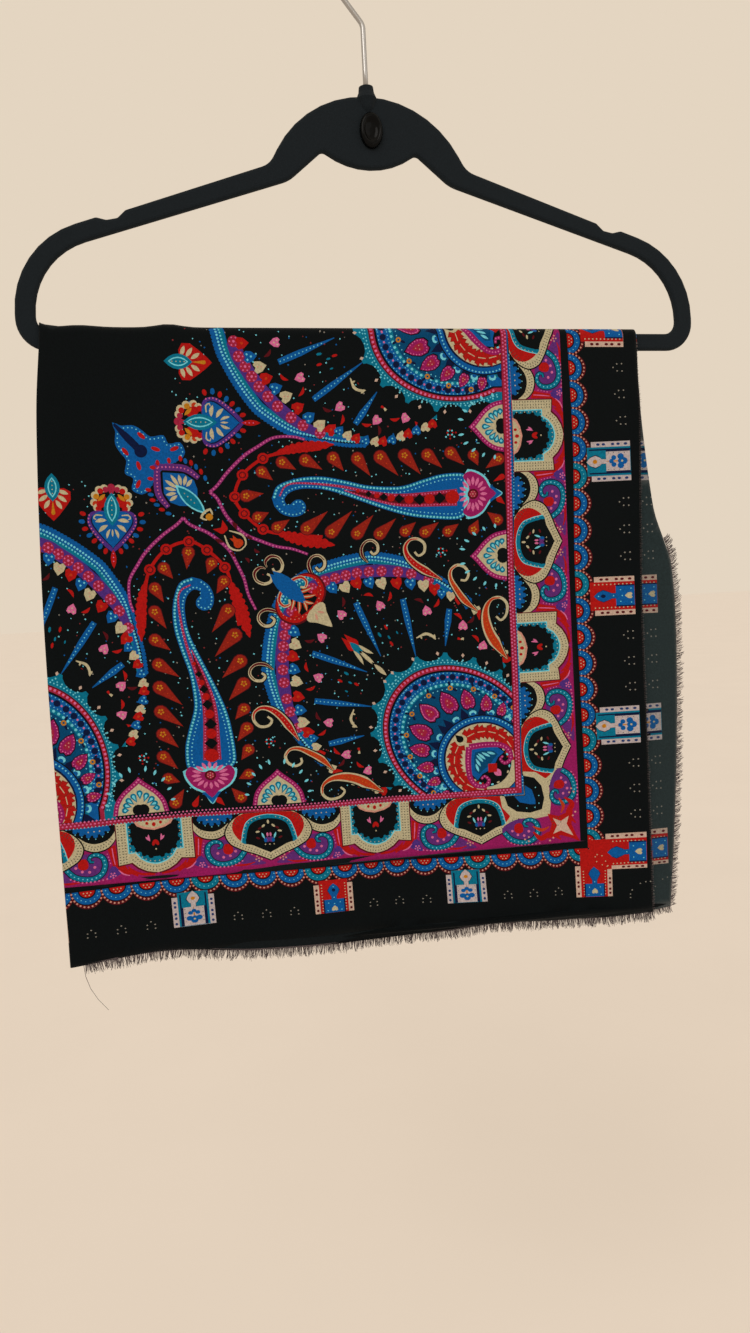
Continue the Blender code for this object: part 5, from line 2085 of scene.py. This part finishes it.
def hem_line(layer, front, hem):
    """Points along a hem, from its right end to its left, through the middle of the cloth's thickness."""
    x = np.linspace(
        layer.right(HEM_MEAN, -1 if front else 1), layer.turn(HEM_MEAN) - FOLD_RADIUS * 0.9, HEM_PLACES
    )
    drop = along(hem, x)
    v = drop if front else layer.behind(x, drop)
    return layer.place(x, v, CLOTH_THICKNESS / 2)


def side_line(layer, front, hem):
    """Points down a layer's right side, from the bar to the hem."""
    side = -1 if front else 1
    top = SIDE_TOP if front else SEAM_DROP + GAP
    drop = np.linspace(top, float(along(hem, layer.right(HEM_MEAN, side))), SIDE_PLACES)
    x = layer.right(drop, side)
    v = drop if front else layer.behind(x, drop)
    return layer.place(x, v, CLOTH_THICKNESS / 2)


# The wire looks a little thicker in the photograph than its solid is.
WIRE_SHOWN = 0.00165
HOOK_SIDES = 24
BEND_PLACES = 8
ARC_PLACES = 48


def add_hook():
    """The wire hook: a stem out of the collar, a bend and a round arc."""
    lean = np.array((-math.sin(HOOK_BEND), math.cos(HOOK_BEND)))
    knee = np.array((0.0, STEM_TOP))
    reach = HOOK_RADIUS / math.tan(HOOK_BEND)
    cut = HOOK_BEND_RADIUS * math.tan(HOOK_BEND / 2)
    spots = [(0.0, COLLAR_TOP - SOCKET_DEPTH), (0.0, COLLAR_TOP + 0.01), (0.0, STEM_TOP - cut)]
    for t in np.linspace(0, HOOK_BEND, BEND_PLACES)[1:]:
        spots.append((-HOOK_BEND_RADIUS * (1 - math.cos(t)), STEM_TOP - cut + HOOK_BEND_RADIUS * math.sin(t)))
    spots.append(tuple(knee + lean * (cut + reach) / 2))
    for angle in np.linspace(math.pi + HOOK_BEND, HOOK_END, ARC_PLACES):
        spots.append((HOOK_RADIUS * math.cos(angle), HOOK_CENTRE + HOOK_RADIUS * math.sin(angle)))
    path = np.array([(x, 0.0, z) for x, z in spots])
    ahead = path[-1] - path[-2]
    ahead /= np.linalg.norm(ahead)
    path = np.concatenate([path, [path[-1] + ahead * 0.0004, path[-1] + ahead * 0.0007]])
    radii = np.full(len(path), WIRE_SHOWN)
    radii[-2:] = (WIRE_SHOWN * 0.85, WIRE_SHOWN * 0.45)
    points, faces = tube(path, radii, HOOK_SIDES)
    obj = add_mesh("hook", points, faces, steel_material())
    carried(obj, "hook_wire", "hanger_hook")


# The small glossy moulding: an oval with a raised rim. Share of its half width, and height off the yoke.
RIM_PROFILE = (
    (1.0, 0.0), (1.0, 0.0012), (0.97, 0.0021), (0.90, 0.0029), (0.80, 0.0033), (0.70, 0.0031), (0.60, 0.0023),
    (0.50, 0.0017), (0.30, 0.0014), (0.12, 0.0014),
)


TONGUE_SIDES = 72


def add_tongue():
    sides = TONGUE_SIDES
    seat = -BODY_DEPTH / 2 - GAP
    points, faces = [], []
    for share, height in RIM_PROFILE:
        for i in range(sides):
            angle = 2 * math.pi * i / sides
            x = TONGUE_PLACE[0] + TONGUE_HALF_WIDTH * share * math.cos(angle)
            z = TONGUE_PLACE[1] + TONGUE_HALF_HEIGHT * share * math.sin(angle)
            points.append((x, seat - height, BAR_TOP + z))
    for k in range(len(RIM_PROFILE) - 1):
        for i in range(sides):
            a, b = k * sides + i, k * sides + (i + 1) % sides
            faces.append((a, b, b + sides, a + sides))
    faces.append(tuple(range(sides))[::-1])
    faces.append(tuple(range(len(points) - sides, len(points))))
    obj = add_mesh("tongue", points, faces, gloss_material())
    carried(obj, "gloss_moulding", "hanger_tongue")


def dress_hanger(frame):
    body = frame["nodes"]["hanger_body"]
    body.data.materials.clear()
    body.data.materials.append(flock_material())
    add_hook()
    add_tongue()


def dress_scarf():
    outer = Layer(OUTER_FAR, True, OUTER_FRONT_RIGHT, OUTER_BACK_RIGHT, (CURL_FRONT, CURL_BACK))
    inner = Layer(INNER_FAR, False, INNER_FRONT_RIGHT, INNER_BACK_RIGHT, (0.0, 0.0))
    printed = cloth_material("printed_cloth", roughness=0.8, sheen=0.05, relief=0.2)
    wrong = cloth_material("cloth_reverse", roughness=0.85, sheen=0.2, relief=0.35)
    thread_material()
    drawn = draw_print()
    outside = laid(drawn, onto_outer)
    inside = laid([shape_behind(shape) for shape in drawn if stands_out(shape)], onto_inner)
    right_side = Face("printed_cloth", printed, outside, 1.0, INKS["black"], INKS["lining"])
    wrong_side = Face("cloth_reverse", wrong, inside, SHOWS_THROUGH, INKS["reverse"], INKS["black"])
    for name, node, layer, front, face in (
        ("print_front", "scarf_outer_front", outer, True, right_side),
        ("print_back", "scarf_outer_back", outer, False, right_side),
        ("reverse_front", "scarf_inner_front", inner, True, wrong_side),
        ("reverse_back", "scarf_inner_back", inner, False, wrong_side),
    ):
        add_cloth(name, node, layer, front, face)
    pale_hem = PALE_FRINGE._replace(start=0.0, end=0.0145)
    for name, node, edge, fringe in (
        ("threads_hem_front", "fringe_hem_front", hem_line(outer, True, HEM_FRONT), HEM_FRINGE),
        ("thread_loose", "fringe_loose_thread", hem_line(outer, True, HEM_FRONT), LOOSE_THREAD),
        (
            "threads_hem_back", "fringe_hem_back", hem_line(outer, False, HEM_BACK),
            HEM_FRINGE._replace(end=1.0),
        ),
        ("threads_side_front", "fringe_side_front", side_line(outer, True, HEM_FRONT), SIDE_FRINGE),
        ("threads_side_back", "fringe_side_back", side_line(outer, False, HEM_BACK), SIDE_FRINGE),
        ("threads_inner_front", "fringe_inner_front", side_line(inner, True, HEM_FRONT), PALE_FRINGE),
        (
            "threads_inner_back", "fringe_inner_back", side_line(inner, False, HEM_BACK),
            PALE_FRINGE._replace(start=0.15),
        ),
        ("threads_hem_inner", "fringe_hem_inner", hem_line(inner, True, HEM_FRONT), pale_hem),
    ):
        add_fringe(name, node, edge, fringe)


def add_camera():
    data = bpy.data.cameras.new("camera")
    data.lens = CAMERA_LENS
    camera = bpy.data.objects.new("camera", data)
    camera.location = CAMERA_PLACE
    camera.rotation_euler = Euler([math.radians(angle) for angle in CAMERA_TURN])
    bpy.context.scene.collection.objects.link(camera)
    bpy.context.scene.camera = camera


# Soft distant lamps: where each shines from, its strength, its apparent size in degrees, and its colour.
Lamp = namedtuple("Lamp", "name place power size colour")
LAMPS = (
    Lamp("key", (-0.55, -1.0, 0.75), 1.15, 40, (1.0, 0.96, 0.91)),
    Lamp("fill", (0.9, -1.0, 0.2), 0.45, 60, (0.97, 0.98, 1.0)),
    Lamp("back", (0.2, 1.0, 0.8), 0.5, 60, (1.0, 0.98, 0.95)),
)


def add_lamp(lamp):
    data = bpy.data.lights.new(lamp.name, "SUN")
    data.angle = math.radians(lamp.size)
    data.energy = lamp.power
    data.color = lamp.colour
    obj = bpy.data.objects.new(lamp.name, data)
    obj.rotation_euler = Vector(lamp.place).to_track_quat("Z", "Y").to_euler()
    bpy.context.scene.collection.objects.link(obj)


ROOM = (228, 213, 193)


def add_room(low):
    corner = FLOOR_HALF
    z = low - FLOOR_DROP
    points = [(-corner, -corner, z), (corner, -corner, z), (corner, corner, z), (-corner, corner, z)]
    floor = add_mesh("floor", points, [(0, 1, 2, 3)], floor_material(), smooth=False)
    world = bpy.data.worlds.new("room")
    bpy.context.scene.world = world
    world.use_nodes = True
    background = world.node_tree.nodes["Background"]
    background.inputs["Color"].default_value = (*linear(ROOM), 1.0)
    background.inputs["Strength"].default_value = 1.0
    for lamp in LAMPS:
        add_lamp(lamp)
    bpy.context.scene.view_settings.view_transform = "Standard"


def main():
    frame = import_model()
    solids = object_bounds()
    add_camera()
    dress_hanger(frame)
    dress_scarf()
    add_room(solids[0][2])


main()
